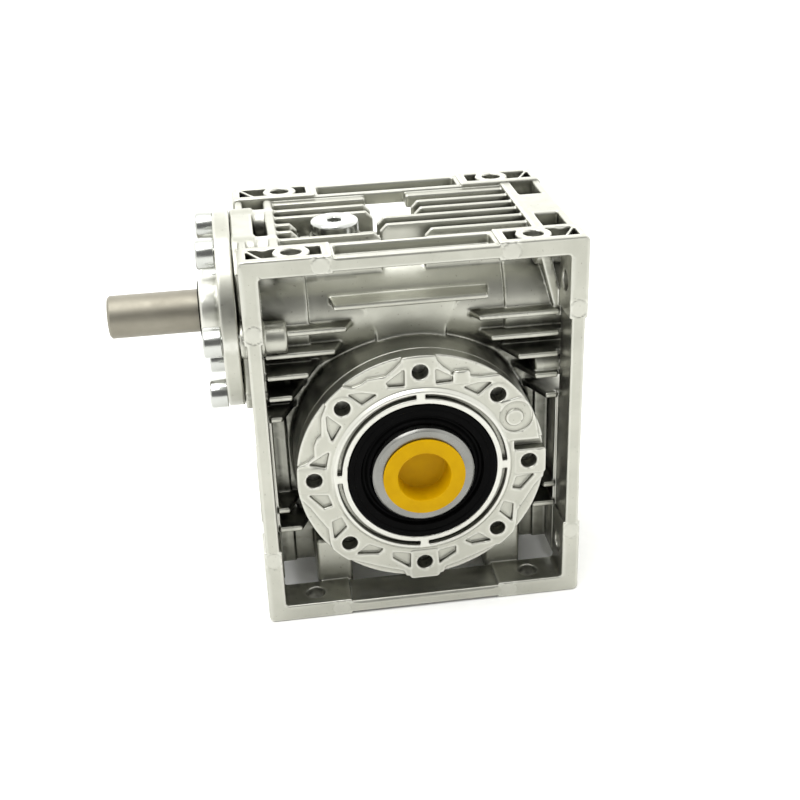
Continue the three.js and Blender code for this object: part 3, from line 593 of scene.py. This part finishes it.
def make_flange_ring():
    reach = BARREL_RADIUS + 1.8
    ring = Casting((-reach, SPIGOT_FACE - 0.9, -reach), (reach, RING_BACK + 0.9, reach), FINE)

    def sink(outline, depth, fillet, above=2):
        ring.cut(prism("y", outline, (RING_FACE - above, RING_FACE + depth)), fillet)

    def raise_by(height, outline, edge, fillet, root=4):
        ring.add(prism("y", outline, (RING_FACE - height, RING_FACE + root), edge), fillet)

    ring.add(rod("y", BARREL_RADIUS, (RING_FACE, RING_BACK), edge=0.5))
    # lugs, of which the lower and the right one stand a little further out
    raise_by(0.35, rectangle((-7, 7), (-55.9, -41), 1.8), 0.5, 0.5, 5)
    raise_by(0.35, rectangle((41, 55.2), (-6.6, 5.8), 1.5), 0.5, 0.5, 5)
    raise_by(0.15, rectangle((-6.8, 6.8), (41, 54.6), 1.5), 0.5, 0.5, 5)
    raise_by(0.15, rectangle((-54.6, -41.5), (-6.2, 6.2), 1.5), 0.5, 0.5, 5)
    for outline in FIELDS:
        sink(polygon(outline, 0.3), FIELD_DEPTH, 0.7)
    for outline in POCKETS:
        sink(polygon(outline, 0.35), POCKET_DEPTH, 0.7)
    # the stepped block above the lug on the right, with its round mark
    sink(rectangle((41, 58), (5.9, 10.6), 0.6), 4.2, 0.5)
    sink(polygon(STEP_FIELD), 1.6, 0.6)
    raise_by(0.5, both(polygon(STEP_BLOCK, 0.4), circle(0, 0, BARREL_RADIUS)), 0.5, 0.3)
    sink(circle(41.6, 22.4, 7.3), 0.35, 0.4, 3)
    raise_by(0.6, circle(40.9, 22, 4.0), 0.6, 0.3)
    # a flat pad beside the upper lug, and round lands about the holes
    raise_by(0.3, rectangle((14, 21.6), (40, 46.6), 1.6), 0.4, 0.3, 3)
    for x, z in RING_PLACES:
        raise_by(0.12, circle(x, z, 5.7), 0.5, 0.5)
    # the centring spigot, with four slots between its bridges
    taper = (SPIGOT_RADIUS - 1.2, SPIGOT_RADIUS + 0.3)
    ring.add(cone("y", *taper, (SPIGOT_FACE, RING_FACE + 0.1)), 0.3)
    half, far = BRIDGE / 2, 60
    bridges = any_of(rectangle((-half, half), (-far, far)), rectangle((-far, far), (-half, half)))
    slots = without(band(0, 0, SLOT_INNER, SLOT_OUTER), bridges)
    ring.cut(prism("y", slots, (SPIGOT_FACE - 1, SPIGOT_FACE + SLOT_DEPTH)), 0.4)
    # the seal's seat and the tapped holes
    ring.cut(cone("y", SEAL_SEAT + 0.5, SEAL_SEAT, (SPIGOT_FACE - 1, SPIGOT_FACE + 0.6)))
    ring.cut(rod("y", SEAL_SEAT, (SPIGOT_FACE - 1, RING_BACK + 2)))
    ring.cut(rod("y", SEAL_BORE, (RING_BACK - 1.3, RING_BACK + 2)))
    for x, z in RING_PLACES:
        chamfer = (RING_FACE - 0.6, RING_FACE + 0.4)
        ring.cut(cone("y", TAP_RADIUS + 0.5, TAP_RADIUS - 0.1, chamfer, (x, z)))
        ring.cut(rod("y", TAP_RADIUS, (RING_FACE - 1, RING_FACE + TAP_DEPTH), (x, z)))
    return ring


# ---------------------------------------------------------------- turned pieces
STRAIGHT = math.radians(170)  # a corner wider than this needs no rounding


def row_frame(at):
    return [c * MM + o for c, o in zip(at, ORIGIN)]


def rounded(profile, radius):
    """Replaces each sharp corner of a (radius, station) profile by a small arc."""
    out = []
    count = len(profile)
    for k, here in enumerate(profile):
        here = Vector(here)
        before, after = Vector(profile[k - 1]), Vector(profile[(k + 1) % count])
        a, b = before - here, after - here
        on_axis = here.x < 1e-6
        if radius <= 0 or on_axis or min(a.length, b.length) < 1e-6 or a.angle(b) > STRAIGHT:
            out.append(tuple(here))
            continue
        turn = a.angle(b)
        back = min(radius / math.tan(turn / 2), 0.45 * a.length, 0.45 * b.length)
        start, end = here + a.normalized() * back, here + b.normalized() * back
        for step in range(4):
            t = step / 3
            out.append(tuple(start * (1 - t) ** 2 + here * 2 * t * (1 - t) + end * t * t))
    return out


def finished(mesh, name, angle=40.0):
    """The mesh with smooth faces, and creases where the surface turns by more than the angle."""
    bmesh.ops.recalc_face_normals(mesh, faces=mesh.faces)
    for face in mesh.faces:
        face.smooth = True
    for edge in mesh.edges:
        if len(edge.link_faces) == 2:
            edge.smooth = edge.calc_face_angle(0.0) < math.radians(angle)
    data = bpy.data.meshes.new(name)
    mesh.to_mesh(data)
    mesh.free()
    return data


def lathe(name, profile, axis="y", centre=(0.0, 0.0), radius=0.4, segments=96, closed=True, sides=None):
    """Turns a profile of (radius, station) round an axis.

    sides gives, by a point's number in the profile, how many corners its ring has instead of being round.
    """
    points = rounded(profile, radius) if sides is None else profile
    mesh = bmesh.new()
    k = "xyz".index(axis)
    others = [i for i in range(3) if i != k]
    rings = []
    for index, (rho, station) in enumerate(points):
        row = []
        count = 1 if rho < 1e-6 else segments
        corners = sides.get(index) if sides else None
        for s in range(count):
            angle = 2 * math.pi * s / segments
            reach = rho
            if corners:
                part = 2 * math.pi / corners
                reach = rho * math.cos(part / 2) / math.cos((angle % part) - part / 2)
            at = [0.0] * 3
            at[k] = station
            at[others[0]] = centre[0] + reach * math.sin(angle)
            at[others[1]] = centre[1] + reach * math.cos(angle)
            row.append(mesh.verts.new(row_frame(at)))
        rings.append(row)
    pairs = list(zip(rings, rings[1:])) + ([(rings[-1], rings[0])] if closed else [])
    for a, b in pairs:
        if len(a) == 1 and len(b) == 1:
            continue
        for s in range(segments):
            n = (s + 1) % segments
            if len(a) == 1:
                mesh.faces.new((a[0], b[s], b[n]))
            elif len(b) == 1:
                mesh.faces.new((a[s], b[0], a[n]))
            else:
                mesh.faces.new((a[s], b[s], b[n], a[n]))
    return finished(mesh, name)


# ---------------------------------------------------------------- materials
def node_material(name, build, **settings):
    """A Principled material; settings go straight on the shader's sockets, and build adds the detail."""
    material = bpy.data.materials.new(name)
    material.use_nodes = True
    tree = material.node_tree
    shader = tree.nodes["Principled BSDF"]
    for socket, value in settings.items():
        shader.inputs[socket.replace("_", " ")].default_value = value
    place = tree.nodes.new("ShaderNodeTexCoord").outputs["Object"]
    build(tree, shader, place)
    return material


def noise(tree, place, size_mm, detail=3.0, stretch=None, rough=0.5):
    """Noise whose blotches are about size_mm across."""
    node = tree.nodes.new("ShaderNodeTexNoise")
    node.inputs["Scale"].default_value = 1 / (size_mm * MM)
    node.inputs["Detail"].default_value = detail
    node.inputs["Roughness"].default_value = rough
    if stretch:
        mapping = tree.nodes.new("ShaderNodeMapping")
        mapping.inputs["Scale"].default_value = stretch
        tree.links.new(place, mapping.inputs["Vector"])
        place = mapping.outputs["Vector"]
    tree.links.new(place, node.inputs["Vector"])
    return node.outputs["Fac"]


def spread(tree, value, low, high, to_low, to_high):
    """Maps low..high to to_low..to_high and holds the ends."""
    node = tree.nodes.new("ShaderNodeMapRange")
    for name, number in (("From Min", low), ("From Max", high), ("To Min", to_low), ("To Max", to_high)):
        node.inputs[name].default_value = number
    tree.links.new(value, node.inputs["Value"])
    return node.outputs["Result"]


def mix_colours(tree, factor, dark, light):
    node = tree.nodes.new("ShaderNodeMix")
    node.data_type = "RGBA"
    colours = [s for s in node.inputs if s.type == "RGBA"]
    for socket, colour in zip(colours, (dark, light)):
        if isinstance(colour, bpy.types.NodeSocket):
            tree.links.new(colour, socket)
        else:
            socket.default_value = (*colour, 1.0)
    tree.links.new(factor, node.inputs["Factor"])
    return next(s for s in node.outputs if s.type == "RGBA")


def bumps(tree, shader, layers):
    """Layers of (height, distance in mm, strength), each on top of the last."""
    below = None
    for height, distance, strength in layers:
        node = tree.nodes.new("ShaderNodeBump")
        node.inputs["Distance"].default_value = distance * MM
        node.inputs["Strength"].default_value = strength
        tree.links.new(height, node.inputs["Height"])
        if below:
            tree.links.new(below, node.inputs["Normal"])
        below = node.outputs["Normal"]
    tree.links.new(below, shader.inputs["Normal"])


def stretched(tree, value, to_low=0.0, to_high=1.0):
    """Noise, most of which lies between 0.3 and 0.7, brought to a full range."""
    return spread(tree, value, 0.3, 0.7, to_low, to_high)


def metal(name, dark, light, rough, grain_mm=0.35, cloud_mm=14.0, bump=0.12, stretch=None, **settings):
    def build(tree, shader, place):
        clouds = noise(tree, place, cloud_mm, 4.0)
        grain = noise(tree, place, grain_mm, 2.0, stretch)
        waves = noise(tree, place, cloud_mm / 3, 3.0)
        tree.links.new(mix_colours(tree, stretched(tree, clouds), dark, light), shader.inputs["Base Color"])
        tree.links.new(stretched(tree, waves, *rough), shader.inputs["Roughness"])
        bumps(tree, shader, ((waves, 0.08, bump), (grain, 0.03, bump * 2)))

    return node_material(name, build, Metallic=1.0, **settings)


# Small pits in the skin, and the near-black painted shade where the casting blocks its own surroundings.
PIT_COLOUR, PAINTED_SHADE_COLOUR = (0.2, 0.19, 0.16), (0.02, 0.02, 0.016)


def cast_metal(name, dark, light, edge_highlight_colour, rough):
    """Die-cast alloy: cloudy skin with fine grain and small pits, a painted highlight along outer edges, painted
    shade in inner creases and deep painted shade where the casting hems itself in.
    """
    def build(tree, shader, place):
        def attribute(label):
            node = tree.nodes.new("ShaderNodeAttribute")
            node.attribute_name = label
            return node.outputs["Fac"]

        clouds = noise(tree, place, 16.0, 5.0, rough=0.6)
        flow = noise(tree, place, 5.0, 3.0)
        grain = noise(tree, place, 0.45, 2.0)
        skin = mix_colours(tree, stretched(tree, clouds), dark, light)
        pits = spread(tree, noise(tree, place, 1.1, 0.0), 0.79, 0.82, 0.0, 0.5)
        skin = mix_colours(tree, pits, skin, PIT_COLOUR)
        # Painted shade: darker in inner creases.
        crease_shade = spread(tree, attribute("crease"), 0.1, 1.0, 0.0, 0.35)
        skin = mix_colours(tree, crease_shade, skin, tuple(0.45 * c for c in dark))
        # Painted highlight: lighter along outer edges.
        edge_highlight = spread(tree, attribute("edge"), 0.15, 0.9, 0.0, 0.75)
        skin = mix_colours(tree, edge_highlight, skin, edge_highlight_colour)
        # Painted shade: near black where the casting blocks much of its surroundings.
        painted_shade_mask = spread(tree, attribute("painted_shade"), 0.35, 1.0, 0.0, 0.93)
        skin = mix_colours(tree, painted_shade_mask, skin, PAINTED_SHADE_COLOUR)
        tree.links.new(skin, shader.inputs["Base Color"])
        tree.links.new(stretched(tree, flow, *rough), shader.inputs["Roughness"])
        bumps(tree, shader, ((flow, 0.05, 0.08), (grain, 0.035, 0.22)))

    return node_material(name, build, Metallic=1.0)


def plain(name, dark, light, rough, grain_mm=0.3, bump=0.15, **settings):
    def build(tree, shader, place):
        clouds = noise(tree, place, 6.0, 3.0)
        grain = noise(tree, place, grain_mm, 2.0)
        tree.links.new(mix_colours(tree, stretched(tree, clouds), dark, light), shader.inputs["Base Color"])
        tree.links.new(stretched(tree, clouds, *rough), shader.inputs["Roughness"])
        bumps(tree, shader, ((grain, 0.03, bump),))

    return node_material(name, build, **settings)


# Each is named after a material slot of the record: darkest and lightest colour, then the range of roughness.
# The cast alloy's third colour is a painted highlight along outer edges.
CAST = cast_metal("cast_aluminium", (0.40, 0.40, 0.35), (0.46, 0.46, 0.405), (0.64, 0.64, 0.59), (0.32, 0.41))
METALS = (
    ("zinc_steel", (0.44, 0.45, 0.43), (0.52, 0.53, 0.50), (0.17, 0.26), {"bump": 0.05}),
    ("ground_steel", (0.225, 0.21, 0.17), (0.265, 0.25, 0.205), (0.46, 0.54), {"bump": 0.05, "stretch": (12, 1, 1)}),
    ("bearing_steel", (0.62, 0.62, 0.63), (0.70, 0.70, 0.71), (0.16, 0.24), {"bump": 0.04}),
    ("bronze", (0.60, 0.38, 0.15), (0.70, 0.47, 0.20), (0.28, 0.40), {}),
    ("hub_iron", (0.20, 0.20, 0.185), (0.25, 0.25, 0.235), (0.24, 0.34), {"stretch": (1, 8, 1)}),
)
PLAINS = (
    ("black_rubber", (0.001, 0.001, 0.001), (0.002, 0.002, 0.002), (0.34, 0.44), {"Specular_IOR_Level": 0.03}),
    ("yellow_plastic", (0.47, 0.265, 0.0), (0.52, 0.30, 0.0), (0.42, 0.5), {"Specular_IOR_Level": 0.07}),
    ("washer_fibre", (0.03, 0.028, 0.025), (0.05, 0.045, 0.04), (0.75, 0.9), {}),
)
MATERIALS = {"cast_aluminium": CAST}
for make, rows in ((metal, METALS), (plain, PLAINS)):
    for name, dark, light, rough, more in rows:
        MATERIALS[name] = make(name, dark, light, rough, **more)


def dress(obj, slot):
    """Gives a piece the finish of one of the record's material slots."""
    obj.data.materials.clear()
    obj.data.materials.append(MATERIALS[slot])


def put(name, data, slot, body="casing", replaces=()):
    """Makes a piece that rides on a body, and hides the CAD nodes that it stands for."""
    obj = bpy.data.objects.new(name, data)
    scene.collection.objects.link(obj)
    dress(obj, slot)
    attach(obj, body)
    if replaces:
        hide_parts(*replaces)
    return obj


# ---------------------------------------------------------------- carried-over CAD nodes
for entry in frame["record"]["subparts"]:
    node = frame["nodes"][entry["node"]]
    node.data.materials.clear()
    node.data.materials.append(MATERIALS[entry["material_slot"]])

put("housing_casting", make_housing().mesh("housing_casting"), "cast_aluminium", replaces=("housing",))
front_ring = make_flange_ring().mesh("front_flange_ring")
put("front_flange_ring", front_ring, "cast_aluminium")


def turned_about(data, name):
    """A copy turned half round the upright line through the output axis."""
    copy = data.copy()
    copy.name = name
    pivot = Matrix.Translation(ORIGIN)
    normals = [Vector(n.vector) for n in data.corner_normals]
    copy.transform(pivot @ Matrix.Rotation(math.pi, 4, "Z") @ pivot.inverted())
    copy.normals_split_custom_set([(-n.x, -n.y, n.z) for n in normals])
    return copy


put("rear_flange_ring", turned_about(front_ring, "rear_flange_ring"), "cast_aluminium")

# ---------------------------------------------------------------- turned pieces of the output side
HUB_RADIUS, HUB_END, BORE = 22.5, 56.0, 12.5
CAP_RADIUS, CUP_RADIUS, CAP_FACE, CAP_SEAT = 18.0, 11.2, 57.7, 56.3


def both_ends(make, name, slot, body, node):
    """The same turned piece at the front (-1) and the rear (1)."""
    for end, side in ((-1, "front"), (1, "rear")):
        put(f"{side}_{name}", make(f"{side}_{name}", end), slot, body, (f"{side}_{node}",))


def seal(name, end):
    profile = [(22.75, 45), (32.7, 45), (32.7, 52.9), (30.6, 52.9), (30.0, 52.4), (27.2, 52.4), (26.4, 50.6),
               (25.4, 50.6), (24.2, 52.0), (23.2, 52.0), (22.75, 50.8)]
    return lathe(name, [(r, end * y) for r, y in profile], radius=0.35)


def bore_cap(name, end):
    profile = [(0, 46.3), (12.1, 46.3), (12.2, CAP_SEAT), (CAP_RADIUS, CAP_SEAT), (CAP_RADIUS + 0.1, CAP_FACE),
               (CUP_RADIUS + 0.5, CAP_FACE), (CUP_RADIUS - 0.4, 47.6), (0, 47.6)]
    return lathe(name, [(r, end * y) for r, y in profile], radius=0.5)


both_ends(seal, "shaft_seal", "black_rubber", "casing", "oil_seal")
both_ends(bore_cap, "cup_cap", "yellow_plastic", "output", "bore_cap")


def hub(name):
    """The hollow shaft, with a collar behind each bearing and the disc that carries the wheel rim."""
    half, collar, disc = HUB_END, 27.7, 12.0
    collar_radius, disc_radius, chamfer = 27, 37.6, 1.0
    one_end = [(BORE, half), (HUB_RADIUS - chamfer, half), (HUB_RADIUS, half - chamfer), (HUB_RADIUS, collar),
               (collar_radius, collar), (collar_radius, disc), (disc_radius, disc)]
    profile = [(r, -y) for r, y in one_end] + one_end[::-1]
    return lathe(name, profile, radius=0.25, segments=128)


put("hollow_output_shaft", hub("hollow_output_shaft"), "hub_iron", "output", ("output_hub",))

# ---------------------------------------------------------------- screws and plugs
HEAD_GAP = 0.3  # between a screw's head or the plug's washer and the casting
HEXAGON = {12: 6, 13: 6}  # the two rings of a screw's socket


def screw(name, axis, centre, seat, outward, head, length, shank, reach, socket):
    """A socket head cap screw. seat is where its head rests and outward the way the head points."""
    depth = 0.55 * length
    profile = [
        (0, -reach), (shank - 0.5, -reach), (shank, -reach + 0.5), (shank, 0), (head - 0.25, 0), (head, 0.25),
        (head, length - 1.0), (head - 0.12, length - 0.55), (head - 0.45, length - 0.15), (head - 0.95, length),
        (socket + 0.75, length), (socket + 0.25, length - 0.12), (socket, length - 0.5), (socket, length - depth),
        (0, length - depth - 0.5),
    ]
    placed = [(r, seat + outward * t) for r, t in profile]
    return lathe(name, placed, axis, centre, segments=60, closed=False, sides=HEXAGON)


COVER_FLANGE, COVER_FROM, COVER_TO, COVER_NECK = 62.5, 31.1, 37.0, 52.0
COVER_SCREW_PLACES = on_circle(8, 58.7, math.pi / 8)
INPUT_SCREW = {"head": 6.5, "length": 7.7, "shank": 3.2, "reach": 22.5, "socket": 3.45}
COVER_SCREW = {"head": 4.2, "length": 5.0, "shank": 2.2, "reach": 16.5, "socket": 2.3}
for k, (y, z) in enumerate(INPUT_SCREW_PLACES):
    name = f"input_cap_screw_{k + 1}"
    data = screw(name, "x", (y, z + CENTRE_DISTANCE), DISC_FRONT - HEAD_GAP, -1, **INPUT_SCREW)
    put(name, data, "zinc_steel", "casing", (f"input_screw_{k + 1}",))
for k, (x, z) in enumerate(COVER_SCREW_PLACES):
    name = f"cover_cap_screw_{k + 1}"
    data = screw(name, "y", (x, z), COVER_TO + HEAD_GAP, 1, **COVER_SCREW)
    put(name, data, "zinc_steel", "casing", (f"cover_screw_{k + 1}",))

WASHER = 0.8
washer_base = PLUG_SEAT + HEAD_GAP
plug_base = washer_base + WASHER + HEAD_GAP
plug_profile = [(0, -9), (5.4, -9), (5.9, -8.5), (5.9, 0), (10.3, 0), (10.6, 0.3), (10.6, 3.6), (10.5, 4.1),
                (10.15, 4.6), (9.5, 4.9), (8.6, 5.0), (4.1, 5.0), (3.75, 4.85), (3.46, 4.5), (3.46, 1.6), (0, 1.1)]
plug = lathe("filler_plug_head", [(r, plug_base + t) for r, t in plug_profile], "z", (PLUG_X, 0), closed=False,
             sides={13: 6, 14: 6})
put("filler_plug_head", plug, "zinc_steel", "casing", ("filler_plug",))
washer_profile = [(6.3, 0), (9.8, 0), (9.8, WASHER), (6.3, WASHER)]
washer = lathe("sealing_washer", [(r, washer_base + t) for r, t in washer_profile], "z", (PLUG_X, 0), radius=0.25)
put("sealing_washer", washer, "washer_fibre", "casing", ("filler_washer",))

end_cap_profile = [(0, 66.7), (19, 66.7), (20.4, 65.6), (20.6, 63), (23.4, 63), (23.4, 68.1), (22.9, 68.5),
                   (20.6, 68.5), (19.6, 67.9), (0, 67.9)]
end_cap = lathe("closed_end_cap", end_cap_profile, "x", WORM_AXIS, radius=0.3)
put("closed_end_cap", end_cap, "black_rubber", "casing", ("blind_end_cap",))
lip_profile = [(10.0, -90.4), (10.9, -89.9), (11.6, -90.5), (12.9, -90.5), (12.9, -84.3), (10.3, -84.3)]
lip_seal = lathe("input_lip_seal", lip_profile, "x", WORM_AXIS, radius=0.2)
put("input_lip_seal", lip_seal, "black_rubber", "casing", ("input_oil_seal",))

# ---------------------------------------------------------------- input flange and rear cover
def make_input_flange():
    half = DISC_RADIUS + 1.5
    flange = Casting((-91.5, -half, CENTRE_DISTANCE - half), (-58.5, half, CENTRE_DISTANCE + half), MEDIUM)
    flange.add(rod("x", DISC_RADIUS, (DISC_FRONT, DISC_BACK), WORM_AXIS, 0.7))
    flange.add(rod("x", 15.0, (-90.0, DISC_FRONT + 1), WORM_AXIS, 1.6), 1.2)
    flange.add(rod("x", 23.4, (DISC_BACK - 1, -60.3), WORM_AXIS, 0.6), 0.3)
    for y, z in INPUT_SCREW_PLACES:
        flange.cut(rod("x", 4.2, (DISC_FRONT - 2, DISC_BACK + 2), (y, z + CENTRE_DISTANCE)), 0.2)
    flange.cut(rod("x", 20.0, (-80.0, -58), WORM_AXIS), 0.2)
    flange.cut(rod("x", 10.7, (-92, -79), WORM_AXIS))
    flange.cut(rod("x", 13.2, (-92, -84.0), WORM_AXIS), 0.4)
    return flange


def make_rear_cover():
    half = COVER_FLANGE + 1.5
    cover = Casting((-half, 25.5, -half), (half, -RING_BACK + 1.5, half), COARSE)
    cover.add(rod("y", 53.7, (27, 34)))
    cover.add(rod("y", COVER_FLANGE, (COVER_FROM, COVER_TO), edge=0.8))
    cover.add(rod("y", COVER_NECK, (34, -RING_BACK)), 2.5)
    for x, z in COVER_SCREW_PLACES:
        cover.cut(rod("y", 2.8, (COVER_FROM - 2, COVER_TO + 2), (x, z)))
    cover.cut(rod("y", SEAL_BORE, (25, 46)))
    return cover


for name, make, node in (
    ("input_flange_casting", make_input_flange, "input_flange"),
    ("rear_cover_casting", make_rear_cover, "rear_cover"),
):
    put(name, make().mesh(name), "cast_aluminium", "casing", (node,))

# ---------------------------------------------------------------- worm shaft and key
SHAFT_RADIUS, SHAFT_END, SHAFT_CHAMFER, SHAFT_STEP = 9.5, -130.0, 1.0, 0.25
KEY_WIDTH, KEY_TOP, KEY_FROM, KEY_TO, KEY_STEP = 6.0, 12.0, -127.0, -95.0, 0.2


def key_outline(grow=0.0):
    half = KEY_WIDTH / 2
    return stroke((KEY_FROM + half, CENTRE_DISTANCE), (KEY_TO - half, CENTRE_DISTANCE), KEY_WIDTH + 2 * grow)


def make_shaft_end():
    """The keyed end of the worm shaft, with a chamfer and a centre hole."""
    reach = SHAFT_RADIUS + 1.2
    low, high = (SHAFT_END - 1.2, -reach, CENTRE_DISTANCE - reach), (-84.0, reach, CENTRE_DISTANCE + reach)
    shaft = Casting(low, high, SHAFT_STEP)
    full = SHAFT_END + SHAFT_CHAMFER
    shaft.add(cone("x", SHAFT_RADIUS - SHAFT_CHAMFER, SHAFT_RADIUS, (SHAFT_END, full), WORM_AXIS))
    shaft.add(rod("x", SHAFT_RADIUS, (full, -85.2), WORM_AXIS))
    shaft.cut(prism("y", key_outline(0.15), (SHAFT_RADIUS - 3.5, 20)), 0.2)
    shaft.cut(cone("x", 3.4, 1.0, (SHAFT_END - 0.2, SHAFT_END + 3.0), WORM_AXIS), 0.2)
    return shaft


put("input_shaft_end", make_shaft_end().mesh("input_shaft_end"), "ground_steel", "worm", ("worm_shaft",))

WORM_MODULE, WORM_PITCH_RADIUS, BACKLASH, PRESSURE_ANGLE = 3.3, 13.5, 0.7, math.radians(20)
WORM_ROOT, WORM_CREST = 9.0, WORM_PITCH_RADIUS + 3.1
core_profile = [
    (0, -85.4), (9.5, -85.4), (9.9, -85.0), (10.0, -46.3), (13, -46.3), (13, -36), (9.4, -28), (9.4, 28), (13, 36),
    (13, 46.3), (10.0, 46.3), (10.0, 60.0), (9.5, 60.5), (0, 60.5),
]
worm_core = lathe("worm_core", core_profile, "x", WORM_AXIS, radius=0.3, closed=False)
put("worm_core", worm_core, "ground_steel", "worm")


def worm_thread(name):
    """One start of right-hand thread as a trapezium swept round the worm axis."""
    pitch, turns, steps = math.pi * WORM_MODULE, 4, 48
    half = pitch / 4 - BACKLASH / 4
    slope = math.tan(PRESSURE_ANGLE)
    section = []
    for radius, sign in ((WORM_ROOT, -1), (WORM_CREST, -1), (WORM_CREST, 1), (WORM_ROOT, 1)):
        section.append((radius, sign * (half + (WORM_PITCH_RADIUS - radius) * slope)))
    mesh = bmesh.new()
    rows = []
    for k in range(turns * steps + 1):
        turn = k / steps - turns / 2
        angle = turn * 2 * math.pi - math.pi / 2
        row = []
        for radius, offset in section:
            y, z = radius * math.cos(angle), CENTRE_DISTANCE + radius * math.sin(angle)
            row.append(mesh.verts.new(row_frame((pitch * (turn + 0.5) + offset, y, z))))
        rows.append(row)
    for a, b in zip(rows, rows[1:]):
        for i in range(4):
            mesh.faces.new((a[i], a[(i + 1) % 4], b[(i + 1) % 4], b[i]))
    mesh.faces.new(rows[0])
    mesh.faces.new(rows[-1][::-1])
    return finished(mesh, name, 35.0)


put("worm_thread", worm_thread("worm_thread"), "ground_steel", "worm")


def make_key():
    low = (KEY_FROM - 1, SHAFT_RADIUS - 5, CENTRE_DISTANCE - 5)
    key = Casting(low, (KEY_TO + 1, KEY_TOP + 1, CENTRE_DISTANCE + 5), KEY_STEP)
    key.add(prism("y", key_outline(), (SHAFT_RADIUS - 3.2, KEY_TOP), 0.3))
    return key


put("parallel_key", make_key().mesh("parallel_key"), "ground_steel", "worm", ("shaft_key",))

# ---------------------------------------------------------------- studio
def softbox(name, place, target, size, power):
    data = bpy.data.lights.new(name, "AREA")
    data.shape = "RECTANGLE"
    data.size, data.size_y = size
    data.energy = power
    obj = bpy.data.objects.new(name, data)
    scene.collection.objects.link(obj)
    obj.location = place
    obj.rotation_euler = (Vector(target) - Vector(place)).to_track_quat("-Z", "Y").to_euler()


UNLIT_TOWARDS = Vector((-0.10, -0.90, 0.40)).normalized()
SKY_COLOUR, PAPER_COLOUR = (1.0, 1.0, 0.985, 1.0), (1.0, 1.0, 1.0, 1.0)


def sky(tree):
    """White light all round, strongest from behind, with a dim zone in front a little above the horizon."""
    tree.nodes.clear()
    direction = tree.nodes.new("ShaderNodeTexCoord").outputs["Generated"]
    towards = tree.nodes.new("ShaderNodeVectorMath")
    towards.operation = "DOT_PRODUCT"
    towards.inputs[1].default_value = UNLIT_TOWARDS
    tree.links.new(direction, towards.inputs[0])
    unlit = spread(tree, towards.outputs["Value"], 0.66, 0.96, 1.0, 0.14)
    behind = spread(tree, towards.outputs["Value"], -0.8, 0.35, 2.3, 1.45)
    strength = tree.nodes.new("ShaderNodeMath")
    strength.operation = "MULTIPLY"
    tree.links.new(unlit, strength.inputs[0])
    tree.links.new(behind, strength.inputs[1])
    lit = tree.nodes.new("ShaderNodeBackground")
    tree.links.new(strength.outputs["Value"], lit.inputs["Strength"])
    lit.inputs["Color"].default_value = SKY_COLOUR
    paper = tree.nodes.new("ShaderNodeBackground")
    paper.inputs["Color"].default_value = PAPER_COLOUR
    seen = tree.nodes.new("ShaderNodeLightPath").outputs["Is Camera Ray"]
    choose = tree.nodes.new("ShaderNodeMixShader")
    tree.links.new(seen, choose.inputs["Fac"])
    tree.links.new(lit.outputs["Background"], choose.inputs[1])
    tree.links.new(paper.outputs["Background"], choose.inputs[2])
    output = tree.nodes.new("ShaderNodeOutputWorld")
    tree.links.new(choose.outputs["Shader"], output.inputs["Surface"])


world = bpy.data.worlds.new("studio")
world.use_nodes = True
sky(world.node_tree)
scene.world = world
scene.view_settings.view_transform = "Standard"

FLOOR = 3.0  # half its width, in metres
floor_mesh = bmesh.new()
for x, y in ((-FLOOR, -FLOOR), (FLOOR, -FLOOR), (FLOOR, FLOOR), (-FLOOR, FLOOR)):
    floor_mesh.verts.new((x, y, 0.0))
floor_mesh.faces.new(floor_mesh.verts)
floor_data = bpy.data.meshes.new("floor")
floor_mesh.to_mesh(floor_data)
floor = bpy.data.objects.new("floor", floor_data)
scene.collection.objects.link(floor)
floor_data.materials.append(plain("floor_paper", (0.88, 0.88, 0.87), (0.9, 0.9, 0.89), (0.8, 0.9), bump=0.02))

softbox("key_light", (-0.35, -0.25, 1.2), (0.03, 0, 0.08), (0.9, 0.9), 11.0)

# ---------------------------------------------------------------- camera
CAMERA_AT = (-0.039443, -0.518571, 0.340560)
YAW, PITCH, ROLL = (math.radians(a) for a in (7.26579939, 26.34998462, -1.9832388))
LENS, SENSOR = 55.78, 36.0
forward = Vector((math.sin(YAW) * math.cos(PITCH), math.cos(YAW) * math.cos(PITCH), -math.sin(PITCH)))
level = Vector((math.cos(YAW), -math.sin(YAW), 0.0))
upward = level.cross(forward)
right = level * math.cos(ROLL) + upward * math.sin(ROLL)
up = -level * math.sin(ROLL) + upward * math.cos(ROLL)
camera_data = bpy.data.cameras.new("camera")
camera_data.lens, camera_data.sensor_width = LENS, SENSOR
camera_data.clip_start, camera_data.clip_end = 0.01, 20.0
camera = bpy.data.objects.new("camera", camera_data)
scene.collection.objects.link(camera)
camera.rotation_mode = "QUATERNION"
camera.matrix_world = Matrix.Translation(CAMERA_AT) @ Matrix((right, up, -forward)).transposed().to_4x4()
scene.camera = camera
